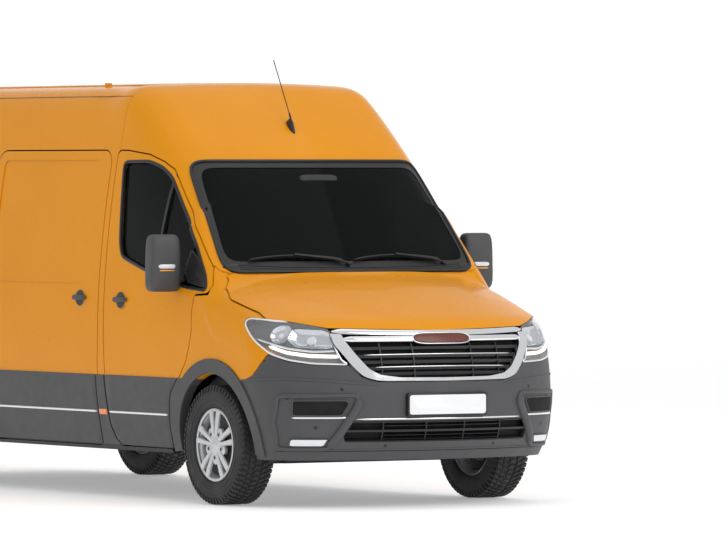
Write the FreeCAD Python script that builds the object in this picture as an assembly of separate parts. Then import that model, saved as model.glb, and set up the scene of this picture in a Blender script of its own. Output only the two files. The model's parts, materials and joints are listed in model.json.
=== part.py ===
"""High-roof panel van with a cab, a closed load space, five opening panels and four turning wheels.

Millimetres. +Z is up, -Y is the nose, +X is the van's left. The origin is on the ground at mid length.
The body shell is one smooth function, skin(): negative inside, zero on the outer surface. Panels are
pieces of the wall between that surface and the same surface moved inwards, split along the shut lines.
"""
import FreeCAD, Part
import math
import os

V = FreeCAD.Vector

# ---- driving dimensions -------------------------------------------------------------------------
FRONT_OVERHANG = 990.0
WHEELBASE = 3900.0
REAR_OVERHANG = 1020.0
REAR_STEP = 45.0
BODY_WIDTH = 2000.0
ROOF_Z = 2470.0
SILL_Z = 285.0
TYRE_R = 350.0
TYRE_WIDTH = 225.0
RIM_R = 208.0
ARCH_R = 415.0
WALL = 50.0
BONNET_T = 32.0
GLASS_T = 5.0
DOOR_GAP = 8.0
BONNET_GAP = 12.0
SEAM = 3.0
CAB_FLOOR_Z = 560.0
LOAD_FLOOR_Z = 640.0
FLOOR_T = 40.0
HIGH_ROOF_RISE = 467.0
PRESS_DEPTH = 6.0
PLATE_SIZE = (524.0, 133.0)
PLATE_Z = 594.5
RACK_SPACING = (1240.0, 2400.0)
RACK_HOLE_R = 4.0
TOW_SPACING = (500.0, 70.0)
TOW_HOLE_R = 8.5
BUMPER_DEPTH = 70.0

# ---- places worked out from them ----------------------------------------------------------------
LENGTH = FRONT_OVERHANG + WHEELBASE + REAR_OVERHANG
NOSE_Y = -LENGTH / 2
TAIL_Y = LENGTH / 2 - REAR_STEP
FRONT_AXLE_Y = NOSE_Y + FRONT_OVERHANG
REAR_AXLE_Y = FRONT_AXLE_Y + WHEELBASE
HALF_W = BODY_WIDTH / 2
TRACK_HALF = HALF_W - 120.0
CAB_TOP_Z = ROOF_Z - HIGH_ROOF_RISE
DOOR_TOP_Z = CAB_TOP_Z + 62.0
DRIP_Z = ROOF_Z - 80.0
COWL_Y = FRONT_AXLE_Y - 45.0
COWL_Z = 1350.0
DOOR_REAR_Y = FRONT_AXLE_Y + 1265.0
SLIDE_FRONT_Y = DOOR_REAR_Y + 68.0
SLIDE_REAR_Y = SLIDE_FRONT_Y + 1385.0
ROOF_FRONT_Y = FRONT_AXLE_Y + 1250.0
BULKHEAD_Y = DOOR_REAR_Y + 10.0
REAR_OPEN_HALF = HALF_W - 110.0
REAR_OPEN_Z = (LOAD_FLOOR_Z - 60.0, ROOF_Z - 150.0)
KINGPIN_X = TRACK_HALF - 60.0
STEERING_X = 430.0
RAIL_X = 500.0
RACK_Z = ROOF_Z + 6.0
TOW_Z = CAB_FLOOR_Z - FLOOR_T - 110
MIRROR_Y = FRONT_AXLE_Y + 350.0


def smooth_max(a, b, r):
    """The larger of two distances, with the edge between them rounded over about r."""
    d = r - abs(a - b)
    return max(a, b) + (d * d / (4 * r) if d > 0 else 0.0)


def smooth_min(a, b, r):
    return -smooth_max(-a, -b, r)


def half_width(y, z):
    """Half the body's width at a height: tucked in at the sill, leaning in above the waist and
    tapering towards the windscreen."""
    w = HALF_W
    if z < 735:
        w -= 60 * ((735 - z) / 435) ** 1.5
    if z > 1000:
        w -= 110 * ((z - 1000) / 1066) ** 1.75
        ahead = max(0.0, FRONT_AXLE_Y + 1265 - y) / 1000
        w -= 177 * ((z - 1000) / 1000) ** 2 * ahead ** 2
    return w


def top_height(x, y):
    """Height of the bonnet, windscreen, header and roof line, swept back and falling to the sides."""
    sweep = 90 * (x / 800) ** 2
    s = y - sweep - FRONT_AXLE_Y
    d = s + 937
    bonnet = 1031 + 0.45 * d - 0.00011 * d * d - 85 * (abs(x) / 950) ** 3
    e = s - 527
    screen = CAB_TOP_Z + 1.14 * e - 0.00006 * e * e
    header = CAB_TOP_Z + 0.9 * e - 0.00018 * e * e if e < 1500 else ROOF_Z + 500
    rise = smooth_min(screen, header, 30)
    roof = ROOF_Z - 30 * (x / 800) ** 2
    return smooth_min(smooth_max(bonnet, rise, 40), roof, 60)


def nose_line(z):
    """How far behind the nose plane the centre of the front face is at a height."""
    if z < 520:
        return 9 + 95 * ((520 - z) / 242) ** 2
    if z < 700:
        return 4 + 5 * ((z - 610) / 90) ** 2
    return 9 + 0.14 * (z - 700)


def front_face(x, z):
    """Y of the front face, swept back towards the sides."""
    u = abs(x) / HALF_W
    return NOSE_Y + nose_line(z) + 285 * u * u + 120 * u ** 8


def skin(x, y, z):
    """Signed distance-like function of the closed body."""
    x = abs(x)
    side = x - half_width(y, z)
    top = (z - top_height(x, y)) * (0.70 if y < FRONT_AXLE_Y + 1100 else 1.0)
    blend = 170.0 if y > FRONT_AXLE_Y + 400 else 110.0
    f = smooth_max(side, top, blend)
    if y < FRONT_AXLE_Y + 200:
        f = smooth_max(f, front_face(x, z) - y, 150.0)
    if y > REAR_AXLE_Y:
        f = smooth_max(f, y - TAIL_Y, 70.0)
    return f


def cast(origin, direction, depth, reach=2600.0):
    """Where a ray from inside the body meets the surface that lies depth inside the skin."""
    low, high = 0.0, reach
    for _ in range(26):
        mid = (low + high) / 2
        p = origin + direction * mid
        if skin(p.x, p.y, p.z) < -depth:
            low = mid
        else:
            high = mid
    return origin + direction * ((low + high) / 2)


def spread(a, b, n):
    return [a + (b - a) * i / (n - 1) for i in range(n)]


def curve_through(points, params):
    curve = Part.BSplineCurve()
    curve.interpolate(Points=points, Parameters=params)
    return curve


def spline_face(grid, us, vs):
    """A cubic surface through a grid of points with the given parameters along and across."""
    rows = [curve_through(row, vs) for row in grid]
    count = rows[0].NbPoles
    columns = [curve_through([row.getPole(j + 1) for row in rows], us) for j in range(count)]
    poles = [[column.getPole(i + 1) for column in columns] for i in range(columns[0].NbPoles)]
    surface = Part.BSplineSurface()
    surface.buildFromPolesMultsKnots(
        poles,
        columns[0].getMultiplicities(),
        rows[0].getMultiplicities(),
        columns[0].getKnots(),
        rows[0].getKnots(),
        False,
        False,
        3,
        3,
    )
    return surface


def closed_solid(faces):
    shell = Part.Shell(faces)
    shell.sewShape()
    solid = Part.Solid(shell)
    if solid.Volume < 0:
        solid.reverse()
    return solid


def path_length(points):
    """Running length along points, as spline parameters."""
    out = [0.0]
    for a, b in zip(points, points[1:]):
        out.append(out[-1] + max(1.0, (b - a).Length))
    return out


def hoop(y, depth, bottom):
    """Section of the body at y, from the left bottom over the top to the right bottom."""
    ridge = cast(V(0, y, bottom), V(0, 0, 1), depth).z
    inset = min(300.0, 0.4 * (ridge - bottom))
    level = ridge - inset
    side_x = cast(V(0, y, level), V(1, 0, 0), depth).x
    inset_x = min(inset, 0.5 * side_x)
    centre = V(side_x - inset_x, y, level)
    half = [cast(V(0, y, z), V(1, 0, 0), depth) for z in spread(bottom, level, 10)]
    for angle in spread(0, math.pi / 2, 10)[1:]:
        half.append(cast(centre, V(math.cos(angle), 0, math.sin(angle)), depth))
    for x in spread(centre.x, 0, 6)[1:]:
        half.append(cast(V(x, y, level), V(0, 0, 1), depth))
    return half + [V(-p.x, p.y, p.z) for p in reversed(half[:-1])]


def hoop_body(stations, depth, bottom):
    """Closed solid of the body between two stations, with a flat bottom and flat ends."""
    grid = [hoop(y, depth, bottom) for y in stations]
    middle = len(grid[0]) // 2
    us = path_length([row[middle] for row in grid])
    vs = path_length(grid[len(grid) // 2])
    surface = spline_face(grid, us, vs)
    skin_face = surface.toShape()
    ends = []
    for u in (us[0], us[-1]):
        edge = surface.uIso(u).toShape()
        a, b = edge.valueAt(edge.FirstParameter), edge.valueAt(edge.LastParameter)
        ends.append(Part.Face(Part.Wire([edge, Part.makeLine(b, a)])))
    left = surface.vIso(vs[0]).toShape()
    right = surface.vIso(vs[-1]).toShape()
    bottom_wire = Part.Wire(
        Part.__sortEdges__(
            [
                left,
                Part.makeLine(left.valueAt(left.FirstParameter), right.valueAt(right.FirstParameter)),
                right,
                Part.makeLine(left.valueAt(left.LastParameter), right.valueAt(right.LastParameter)),
            ]
        )
    )
    return closed_solid([skin_face, *ends, Part.Face(bottom_wire)])


def outline(points, radius=0.0):
    """Closed planar edges through 3D points, with corners rounded up to a radius."""
    count = len(points)
    edges = []
    starts = []
    ends = []
    for i, p in enumerate(points):
        a = points[i - 1] - p
        b = points[(i + 1) % count] - p
        angle = a.getAngle(b)
        r = radius if math.radians(8) < angle < math.radians(172) else 0.0
        back = min(r / math.tan(angle / 2), 0.45 * a.Length, 0.45 * b.Length) if r else 0.0
        ends.append(p + a.normalize() * back)
        starts.append(p + b.normalize() * back)
        if back > 0.5:
            chord = (ends[-1] + starts[-1]) / 2
            r = back * math.tan(angle / 2)
            mid = p + (chord - p).normalize() * (back / math.cos(angle / 2) - r)
            edges.append(Part.Arc(ends[-1], mid, starts[-1]).toShape())
    for i in range(count):
        a, b = starts[i], ends[(i + 1) % count]
        if (b - a).Length > 1e-6:
            edges.append(Part.makeLine(a, b))
    return Part.Wire(Part.__sortEdges__(edges))


def prism(axis, points, low, high, radius=0.0):
    """Straight prism along an axis; points are the two other coordinates in X, Y, Z order."""
    place = {
        "X": lambda p: V(low, p[0], p[1]),
        "Y": lambda p: V(p[0], low, p[1]),
        "Z": lambda p: V(p[0], p[1], low),
    }[axis]
    along = {"X": V(1, 0, 0), "Y": V(0, 1, 0), "Z": V(0, 0, 1)}[axis]
    face = Part.Face(outline([place(p) for p in points], radius))
    return face.extrude(along * (high - low))


def box(x0, x1, y0, y1, z0, z1):
    return Part.makeBox(x1 - x0, y1 - y0, z1 - z0, V(x0, y0, z0))


def rod(a, b, r):
    a, b = V(*a), V(*b)
    return Part.makeCylinder(r, (b - a).Length, a, b - a)


def mirrored(shape):
    return shape.mirror(V(0, 0, 0), V(1, 0, 0))


def both(shape):
    """A shape and its mirror image as one compound."""
    return Part.makeCompound([shape, mirrored(shape)])


def grown(points, gap):
    """Outline moved outwards by gap."""
    wire = Part.makePolygon([V(a, b, 0) for a, b in points] + [V(*points[0], 0)])
    moved = wire.makeOffset2D(gap, 2)
    return [(v.X, v.Y) for v in Part.Wire(moved.Edges).OrderedVertexes]


def tidy(shape):
    """The shape's solids, without slivers smaller than a cubic centimetre."""
    solids = [s for s in shape.Solids if s.Volume > 1000]
    return solids[0] if len(solids) == 1 else Part.makeCompound(solids)


# ---- outlines on the side (y, z), counted from the front axle and the ground ---------------------
def at_axle(points):
    return [(FRONT_AXLE_Y + y, z) for y, z in points]


DOOR_TOP = [(1265, DOOR_TOP_Z), (1150, DOOR_TOP_Z - 2), (929, DOOR_TOP_Z - 26), (794, DOOR_TOP_Z - 68)]
PILLAR_LINE = [(696, CAB_TOP_Z - 53), (476, CAB_TOP_Z - 277), (294, CAB_TOP_Z - 463)]
SAIL = [(136, 1378), (79, 1280), (87, 1233), (229, 1225)]
DOOR_FRONT = [(242, 1131), (236, 1015), (262, 927), (300, 833), (386, 731), (477, 646)]
DOOR_FRONT += [(500, 581), (526, 456)]
DOOR_FOOT = [(522, 316), (1125, 316), (1177, 353), (1222, 436), (1236, 567), (1246, 746), (1262, 936)]
DOOR = at_axle(DOOR_TOP + PILLAR_LINE + SAIL + DOOR_FRONT + DOOR_FOOT)
DOOR_WINDOW = at_axle(
    [(1185, CAB_TOP_Z - 8), (1121, 1516), (1090, 1437), (831, 1366), (349, 1265), (100, 1245)]
    + [(145, 1330), (300, CAB_TOP_Z - 500), (480, CAB_TOP_Z - 315), (690, CAB_TOP_Z - 98)]
    + [(790, CAB_TOP_Z - 40), (918, CAB_TOP_Z - 5)]
)
BONNET_SIDE = [(78, 1356), (8, 1263), (-103, 1201), (-383, 1130), (-495, 1086)]
LAMP_REAR = [(-356, 1098), (-336, 1072), (-367, 1044), (-471, 962), (-582, 892)]
BUMPER_REAR = [(-565, 886), (-498, 804), (-455, 763), (-402, 744), (-312, 731), (-300, 620), (-300, 285)]
SLIDING_DOOR = [
    (SLIDE_FRONT_Y, DOOR_TOP_Z),
    (SLIDE_FRONT_Y + 9, 740),
    (SLIDE_FRONT_Y + 22, 432),
    (SLIDE_FRONT_Y + 22, 313),
    (SLIDE_REAR_Y, 313),
    (SLIDE_REAR_Y, DOOR_TOP_Z),
]

# ---- outlines on the front (x, z) ----------------------------------------------------------------
LAMP = [(1030, 1102), (959, 1096), (837, 1076), (661, 1036), (656, 1021), (660, 940), (628, 853)]
LAMP += [(592, 830), (781, 834), (892, 852), (1030, 858)]
GRILLE_HALF = [(650, 1021), (654, 944), (582, 826), (520, 764), (475, 746), (424, 735)]
GRILLE = GRILLE_HALF + [(-x, z) for x, z in reversed(GRILLE_HALF)]
SCREEN = [(-781, CAB_TOP_Z - 3), (781, CAB_TOP_Z - 3), (868, COWL_Z + 6), (-868, COWL_Z + 6)]

WING = at_axle(
    [(130, 1386), (71, 1281), (78, 1221), (221, 1214)]
    + [(234, 1131), (228, 1013), (254, 923), (293, 827), (380, 724), (470, 640), (492, 579), (518, 455)]
    + [(514, 300), (400, 300), (0, 500), (-300, 620)]
    + [(y + 3, z + 2) for y, z in reversed(BUMPER_REAR[:5])]
    + [(y + 3, z) for y, z in reversed(LAMP_REAR)]
    + [(-488, 1080), (-380, 1122), (-100, 1193), (14, 1256), (86, 1352)]
)
WING_INNER_X = 835.0
AHEAD_OF_LAMP_EDGE = at_axle(LAMP_REAR + [(-760, 800), (-1100, 800), (-1100, 1200), (-380, 1200)])

STATIONS = [FRONT_AXLE_Y - 640 + 60 * i for i in range(22)]
STATIONS = [y for y in STATIONS if y < FRONT_AXLE_Y + 600] + [FRONT_AXLE_Y + 600 + 62 * i for i in range(9)]
STATIONS += spread(FRONT_AXLE_Y + 1180, REAR_AXLE_Y + 500, 12)
STATIONS += [TAIL_Y - d for d in (400, 280, 190, 130, 90, 60, 40, 24, 12, 3)]
PRESS_STATIONS = spread(SLIDE_FRONT_Y, TAIL_Y - 130, 9)
PRESSINGS = [(SLIDE_FRONT_Y + 110, SLIDE_REAR_Y - 75), (SLIDE_REAR_Y + 75, TAIL_Y - 210)]
INNER_STATIONS = [FRONT_AXLE_Y - 645] + [y for y in STATIONS[1:] if y < TAIL_Y - WALL - 90]
INNER_STATIONS += [TAIL_Y - WALL - d for d in (60, 30, 12, 3)]


def body_wall():
    """The whole shell behind the front wheels' middle, one wall thick and open at the front."""
    return hoop_body(STATIONS, 0.0, SILL_Z).cut(hoop_body(INNER_STATIONS, WALL, SILL_Z - 1))


def bonnet_wall():
    ahead = (918, 905, 885, 860, 820, 760, 690, 610, 520, 420, 310, 200, 90, 0, -60)
    stations = [FRONT_AXLE_Y - d for d in ahead]
    outer = hoop_body(stations, 0.0, 880)
    inner = hoop_body([y for y in stations[3:]] + [stations[-1] + 5], BONNET_T, 879)
    return outer.cut(inner)


def ahead_of_cowl(gap, low=900):
    """Everything ahead of the bonnet's curved rear edge, moved back by gap."""
    edge = [(870 * t, COWL_Y - 6 + gap + 128 * t * t) for t in spread(-1.15, 1.15, 15)]
    return prism("Z", edge + [(1100, NOSE_Y - 50), (-1100, NOSE_Y - 50)], low, 1700)


def nose_point(turn, z, depth):
    centre = V(0, FRONT_AXLE_Y - 300, z)
    return cast(centre, V(math.sin(turn), -math.cos(turn), 0), depth)


def nose_wall(depth):
    """Shell of the front face, wrapped round the corners to the wheel arches."""
    turns = [math.radians(a) for a in spread(-96, 96, 49)]
    levels = spread(278, 1100, 19)
    us = path_length([nose_point(t, 700, 0) for t in turns])
    surfaces = []
    for d in (0.0, depth):
        grid = [[nose_point(t, z, d) for z in levels] for t in turns]
        surfaces.append(spline_face(grid, us, levels))
    outer, inner = surfaces
    faces = [outer.toShape(), inner.toShape()]
    for u in (us[0], us[-1]):
        faces.append(Part.makeRuledSurface(outer.uIso(u).toShape(), inner.uIso(u).toShape()))
    for v in (levels[0], levels[-1]):
        faces.append(Part.makeRuledSurface(outer.vIso(v).toShape(), inner.vIso(v).toShape()))
    return closed_solid(faces)


def wheel_space(radius, y, x0, x1):
    return Part.makeCylinder(radius, x1 - x0, V(x0, y, TYRE_R), V(1, 0, 0))


def arches(radius):
    """Both wheel arches of both axles, to be cut from what stands there."""
    inside = TRACK_HALF - TYRE_WIDTH
    out = []
    for y in (FRONT_AXLE_Y, REAR_AXLE_Y):
        out.append(wheel_space(radius, y, inside, HALF_W + 200))
        out.append(wheel_space(radius, y, -HALF_W - 200, -inside))
    return Part.makeCompound(out)


# ---- shell panels --------------------------------------------------------------------------------
def shell_nodes():
    wall = body_wall()
    spaces = arches(ARCH_R)
    door_hole = prism("X", grown(DOOR, DOOR_GAP), -HALF_W - 100, HALF_W + 100, 40)
    front_line = FRONT_AXLE_Y + 1085
    nodes = {}

    side_zone = prism(
        "X",
        [
            (ROOF_FRONT_Y + SEAM, DRIP_Z),
            (ROOF_FRONT_Y + SEAM, DOOR_TOP_Z - 10),
            (front_line, DOOR_TOP_Z - 10),
            (front_line, SILL_Z - 10),
            (TAIL_Y + 10, SILL_Z - 10),
            (TAIL_Y + 10, DRIP_Z),
        ],
        -HALF_W - 100,
        0,
    )
    for first, last in PRESSINGS:
        points = [(first, 2010), (first + 60, 1363), (first + 120, 1268), (last, 1268), (last, 2010)]
        points = [(y, z + (DOOR_TOP_Z - 2065 if z > 1500 else 0)) for y, z in points]
        pressing = prism("X", points, -HALF_W - 50, HALF_W + 50, 45)
        wall = wall.cut(pressing.cut(hoop_body(PRESS_STATIONS, PRESS_DEPTH, SILL_Z + 400)))
    half = REAR_OPEN_HALF + 3
    low, high = REAR_OPEN_Z[0] - 8, REAR_OPEN_Z[1] + 8
    rear_hole = box(-half, half, TAIL_Y - WALL - 5, TAIL_Y + 5, low, high)
    under_rear = box(-HALF_W, HALF_W, TAIL_Y - BUMPER_DEPTH - SEAM, TAIL_Y + 5, 0, REAR_OPEN_Z[0] - 8)
    side = wall.common(side_zone).cut(door_hole).cut(rear_hole).cut(under_rear).cut(spaces)
    nodes["side_left"] = mirrored(side)
    slide_zone = prism("X", SLIDING_DOOR, -HALF_W - 100, -600, 90)
    slide_hole = prism("X", grown(SLIDING_DOOR, DOOR_GAP), -HALF_W - 100, -600, 98)
    nodes["side_right"] = side.cut(slide_hole)
    nodes["sliding_door"] = side.common(slide_zone)

    over = box(-HALF_W, HALF_W, ROOF_FRONT_Y + SEAM, TAIL_Y + 10, DRIP_Z + SEAM, ROOF_Z + 50)
    roof = wall.common(over).cut(rear_hole)
    middle = (ROOF_FRONT_Y + TAIL_Y) / 2
    for x in (-RACK_SPACING[0] / 2, RACK_SPACING[0] / 2):
        for y in (middle - RACK_SPACING[1] / 2, middle + RACK_SPACING[1] / 2):
            roof = roof.fuse(rod((x, y, ROOF_Z - 30), (x, y, RACK_Z), 22))
            roof = roof.cut(rod((x, y, ROOF_Z - 28), (x, y, RACK_Z + 5), RACK_HOLE_R))
    nodes["roof"] = roof

    door = wall.common(prism("X", DOOR, -HALF_W - 100, -700, 36)).cut(spaces)
    window = prism("X", DOOR_WINDOW, -HALF_W - 100, -600, 45)
    door = door.cut(window)
    nodes["front_door_right"] = door
    nodes["front_door_left"] = mirrored(door)

    cab_zone = prism(
        "X",
        at_axle([(88, 1390), (8, 1352), (-48, 1360), (-30, 1300), (-30, 1260), (560, 1260)])
        + at_axle([(560, 316), (540, SILL_Z)])
        + [
            (front_line - SEAM, SILL_Z - 1),
            (front_line - SEAM, DOOR_TOP_Z - 10 - SEAM),
            (ROOF_FRONT_Y, DOOR_TOP_Z - 10 - SEAM),
            (ROOF_FRONT_Y, ROOF_Z + 60),
            (FRONT_AXLE_Y - 40, ROOF_Z + 60),
        ],
        -HALF_W - 100,
        HALF_W + 100,
    )
    screen_hole = prism("Y", SCREEN, FRONT_AXLE_Y - 200, ROOF_FRONT_Y, 70)
    cab = wall.common(cab_zone).cut(door_hole).cut(screen_hole).cut(ahead_of_cowl(BONNET_GAP))
    for x0, x1 in ((WING_INNER_X - SEAM, HALF_W + 100), (-HALF_W - 100, SEAM - WING_INNER_X)):
        cab = cab.cut(prism("X", grown(WING, SEAM), x0, x1))
    nodes["cab_frame"] = tidy(cab)

    rear = wall.common(box(2.5, REAR_OPEN_HALF, TAIL_Y - WALL - 1, TAIL_Y + 5, *REAR_OPEN_Z))
    for low, high in ((REAR_OPEN_Z[0] + 110, 1150), (1268, REAR_OPEN_Z[1] - 140)):
        outline_points = [(110, low), (REAR_OPEN_HALF - 110, low)]
        outline_points += [(REAR_OPEN_HALF - 110, high), (110, high)]
        rear = rear.cut(prism("Y", outline_points, TAIL_Y - PRESS_DEPTH, TAIL_Y + 20, 45))
    nodes["rear_door_left"] = rear
    nodes["rear_door_right"] = mirrored(rear)
    return nodes, wall


def nose_nodes(wall):
    nodes = {}
    spaces = arches(ARCH_R)
    nose = nose_wall(WALL)
    wide = HALF_W + 100
    lamp_zone = prism("Y", LAMP, NOSE_Y - 50, FRONT_AXLE_Y - 250, 8)
    lamp = nose.common(lamp_zone).common(prism("X", AHEAD_OF_LAMP_EDGE, 0, wide))
    nodes["headlamps"] = both(tidy(lamp))

    bonnet_edge = [(1100, 1110), (959, 1098), (837, 1079), (661, 1040), (0, 1024)]
    bonnet_edge += [(-x, z) for x, z in reversed(bonnet_edge[:-1])]
    over_edge = prism("Y", bonnet_edge + [(-1100, 1600), (1100, 1600)], NOSE_Y - 50, FRONT_AXLE_Y + 200)
    over_side = prism("X", at_axle(BONNET_SIDE + [(-1100, 960), (-1100, 1600), (100, 1600)]), -wide, wide)
    bonnet = bonnet_wall().common(over_edge).common(over_side).common(ahead_of_cowl(0))
    nodes["bonnet"] = bonnet

    lamp_space = prism("Y", grown(LAMP, SEAM), NOSE_Y - 50, FRONT_AXLE_Y - 250)
    lamp_space = mirrored(lamp_space.common(prism("X", grown(AHEAD_OF_LAMP_EDGE, SEAM), 0, wide)))
    wing = wall.common(prism("X", WING, -wide, -WING_INNER_X)).cut(spaces).cut(lamp_space)
    nodes["front_wings"] = both(tidy(wing))

    reach = (NOSE_Y - 50, FRONT_AXLE_Y - 250)
    lower = at_axle(BUMPER_REAR + [(-240, 285), (-240, 200), (-1100, 200), (-1100, 1000), (-600, 1000)])
    bumper_zone = prism("X", lower, -wide, wide)
    lamp_space = [(1100, 1110), (700, 1110), (560, 1000), (560, 826), (781, 830), (892, 848), (1100, 852)]
    cutters = [
        prism("Y", lamp_space, *reach),
        prism("Y", [(x * 1.01, z - 4) for x, z in GRILLE], *reach),
    ]
    low_grille = [(640, 505), (612, 385), (-612, 385), (-640, 505)]
    bumper = nose.common(bumper_zone).cut(cutters[0]).cut(mirrored(cutters[0])).cut(cutters[1]).cut(spaces)
    bumper = bumper.cut(prism("Y", low_grille, NOSE_Y - 50, FRONT_AXLE_Y - 500, 20))
    w, h = PLATE_SIZE
    plinth = box(-w / 2, w / 2, NOSE_Y, NOSE_Y + 45, PLATE_Z - h / 2, PLATE_Z + h / 2)
    nodes["front_bumper"] = tidy(bumper.fuse(plinth))

    grille = nose.common(prism("Y", GRILLE, NOSE_Y - 50, FRONT_AXLE_Y - 500, 12))
    nodes["grille"] = tidy(grille)
    return nodes


def glass_nodes():
    """Windscreen and door panes, each a curved sheet that lies inside its aperture."""
    nodes = {}
    xs = spread(-900, 900, 25)
    ys = spread(COWL_Y - 90, FRONT_AXLE_Y + 700, 36)
    inside = 4.0
    grid = [[V(x, y, top_surface(x, y, inside)) for x in xs] for y in ys]
    sheet = spline_face(grid, ys, xs).toShape().extrude(V(0, 0, -GLASS_T / math.cos(math.radians(49))))
    opening = grown(SCREEN, -SEAM)
    nodes["windscreen"] = tidy(sheet.common(prism("Y", opening, FRONT_AXLE_Y - 200, ROOF_FRONT_Y, 68)))

    ys = spread(FRONT_AXLE_Y + 60, DOOR_REAR_Y - 40, 20)
    zs = [1200 + 60 * i for i in range(int((CAB_TOP_Z + 80 - 1200) / 60) + 1)]
    grid = [[V(-half_width(y, z) + 18, y, z) for z in zs] for y in ys]
    pane = spline_face(grid, ys, zs).toShape().extrude(V(GLASS_T, 0, 0))
    pane = tidy(pane.common(prism("X", grown(DOOR_WINDOW, -2), -HALF_W - 50, -500, 43)))
    nodes["door_glass_right"] = pane
    nodes["door_glass_left"] = mirrored(pane)
    return nodes


def top_surface(x, y, depth):
    return cast(V(x, y, COWL_Z - 300), V(0, 0, 1), depth, 1500).z


# ---- structure below and inside ------------------------------------------------------------------
def floor_nodes():
    nodes = {}
    inner = HALF_W - WALL - 14
    spaces = arches(ARCH_R + 14)
    cab_front = FRONT_AXLE_Y + 90
    load_floor = box(-inner, inner, BULKHEAD_Y, TAIL_Y - WALL - 12, LOAD_FLOOR_Z - FLOOR_T, LOAD_FLOOR_Z)
    cab_floor = box(-inner + 30, inner - 30, cab_front, BULKHEAD_Y, CAB_FLOOR_Z - FLOOR_T, CAB_FLOOR_Z)
    riser = box(
        -inner + 30, inner - 30, BULKHEAD_Y - 4, BULKHEAD_Y + 36, CAB_FLOOR_Z - FLOOR_T, LOAD_FLOOR_Z
    )
    floor = load_floor.fuse(cab_floor).fuse(riser)
    for side in (-1, 1):
        outer_x = side * (HALF_W - 130)
        inner_x = side * (HALF_W - 240)
        x0, x1 = sorted((outer_x, inner_x))
        floor = floor.fuse(box(x0, x1, FRONT_AXLE_Y + 440, REAR_AXLE_Y - 440, SILL_Z + 10, CAB_FLOOR_Z))
        floor = floor.fuse(box(x0, x1, REAR_AXLE_Y + 440, TAIL_Y - 120, SILL_Z + 110, CAB_FLOOR_Z + 40))
    for side in (-1, 1):
        x0, x1 = sorted((side * (inner - 45), side * (inner + 10)))
        front = TAIL_Y - WALL - 75
        floor = floor.cut(box(x0, x1, front, TAIL_Y, LOAD_FLOOR_Z - FLOOR_T - 1, LOAD_FLOOR_Z + 1))
    floor = floor.cut(spaces)
    floor = floor.cut(both(wheel_space(ARCH_R + 14, FRONT_AXLE_Y, TRACK_HALF - 334, HALF_W)))
    for side in (-1, 1):
        x0, x1 = sorted((side * (TRACK_HALF - TYRE_WIDTH), side * (HALF_W - WALL - 14)))
        wall_x = -25 * side
        shell = wheel_space(ARCH_R + 25, REAR_AXLE_Y, x0 + min(wall_x, 0), x1 + max(wall_x, 0))
        hollow = wheel_space(
            ARCH_R, REAR_AXLE_Y, x0 - (0 if side > 0 else 30), x1 + (0 if side < 0 else 30)
        )
        liner = shell.cut(hollow).common(box(-HALF_W, HALF_W, 0, TAIL_Y, LOAD_FLOOR_Z - FLOOR_T, 900))
        floor = floor.fuse(liner)
    nodes["floor"] = tidy(floor)

    x0, x1 = TRACK_HALF - 320, HALF_W - 125
    shell = wheel_space(ARCH_R + 8, FRONT_AXLE_Y, x0 - 8, x1)
    shell = shell.cut(wheel_space(ARCH_R - 4, FRONT_AXLE_Y, x0, x1 + 1))
    shell = shell.common(box(0, HALF_W, FRONT_AXLE_Y - 450, FRONT_AXLE_Y + 450, 430, 900))
    nodes["wheel_liners"] = both(shell)

    shelf_z = COWL_Z - 175
    wall = box(-inner + 90, inner - 90, cab_front - 30, cab_front - 2, CAB_FLOOR_Z - FLOOR_T, shelf_z + 25)
    shelf = box(-700, 700, COWL_Y + 20, cab_front, shelf_z, shelf_z + 25)
    firewall = wall.fuse(shelf).cut(wheel_space(ARCH_R + 14, FRONT_AXLE_Y, TRACK_HALF - 334, HALF_W))
    firewall = firewall.cut(wheel_space(ARCH_R + 14, FRONT_AXLE_Y, -HALF_W, -TRACK_HALF + 334))
    nodes["firewall"] = tidy(firewall)

    stations = [BULKHEAD_Y - 60, BULKHEAD_Y + 2, BULKHEAD_Y + 60]
    inside = hoop_body([BULKHEAD_Y - 300] + stations + [BULKHEAD_Y + 300], WALL + 6, LOAD_FLOOR_Z + 3)
    bulkhead = inside.common(box(-HALF_W, HALF_W, BULKHEAD_Y, BULKHEAD_Y + 30, 0, ROOF_Z))
    nodes["bulkhead"] = tidy(bulkhead)

    rails = []
    frame_front = NOSE_Y + 180
    rail_top = CAB_FLOOR_Z - FLOOR_T
    for side in (-1, 1):
        x = side * RAIL_X
        rails.append(box(x - 38, x + 38, frame_front, TAIL_Y - 75, rail_top - 100, rail_top - 2))
        upper = LOAD_FLOOR_Z - FLOOR_T - 2
        rails.append(box(x - 38, x + 38, BULKHEAD_Y + 50, TAIL_Y - 75, rail_top - 20, upper))
    frame = rails[0]
    for piece in rails[1:]:
        frame = frame.fuse(piece)
    for y in (frame_front, FRONT_AXLE_Y + 520, -100, REAR_AXLE_Y - 560, REAR_AXLE_Y + 520):
        frame = frame.fuse(box(-RAIL_X, RAIL_X, y, y + 70, rail_top - 90, rail_top - 10))
    tow_y = TAIL_Y - 130
    tow = box(-RAIL_X - 38, RAIL_X + 38, tow_y - 65, tow_y + 65, TOW_Z, rail_top + 10)
    for x in (-TOW_SPACING[0] / 2, TOW_SPACING[0] / 2):
        for y in (tow_y - TOW_SPACING[1] / 2, tow_y + TOW_SPACING[1] / 2):
            tow = tow.cut(rod((x, y, TOW_Z - 10), (x, y, rail_top + 20), TOW_HOLE_R))
    nodes["underframe"] = tidy(frame.fuse(tow))
    return nodes


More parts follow.
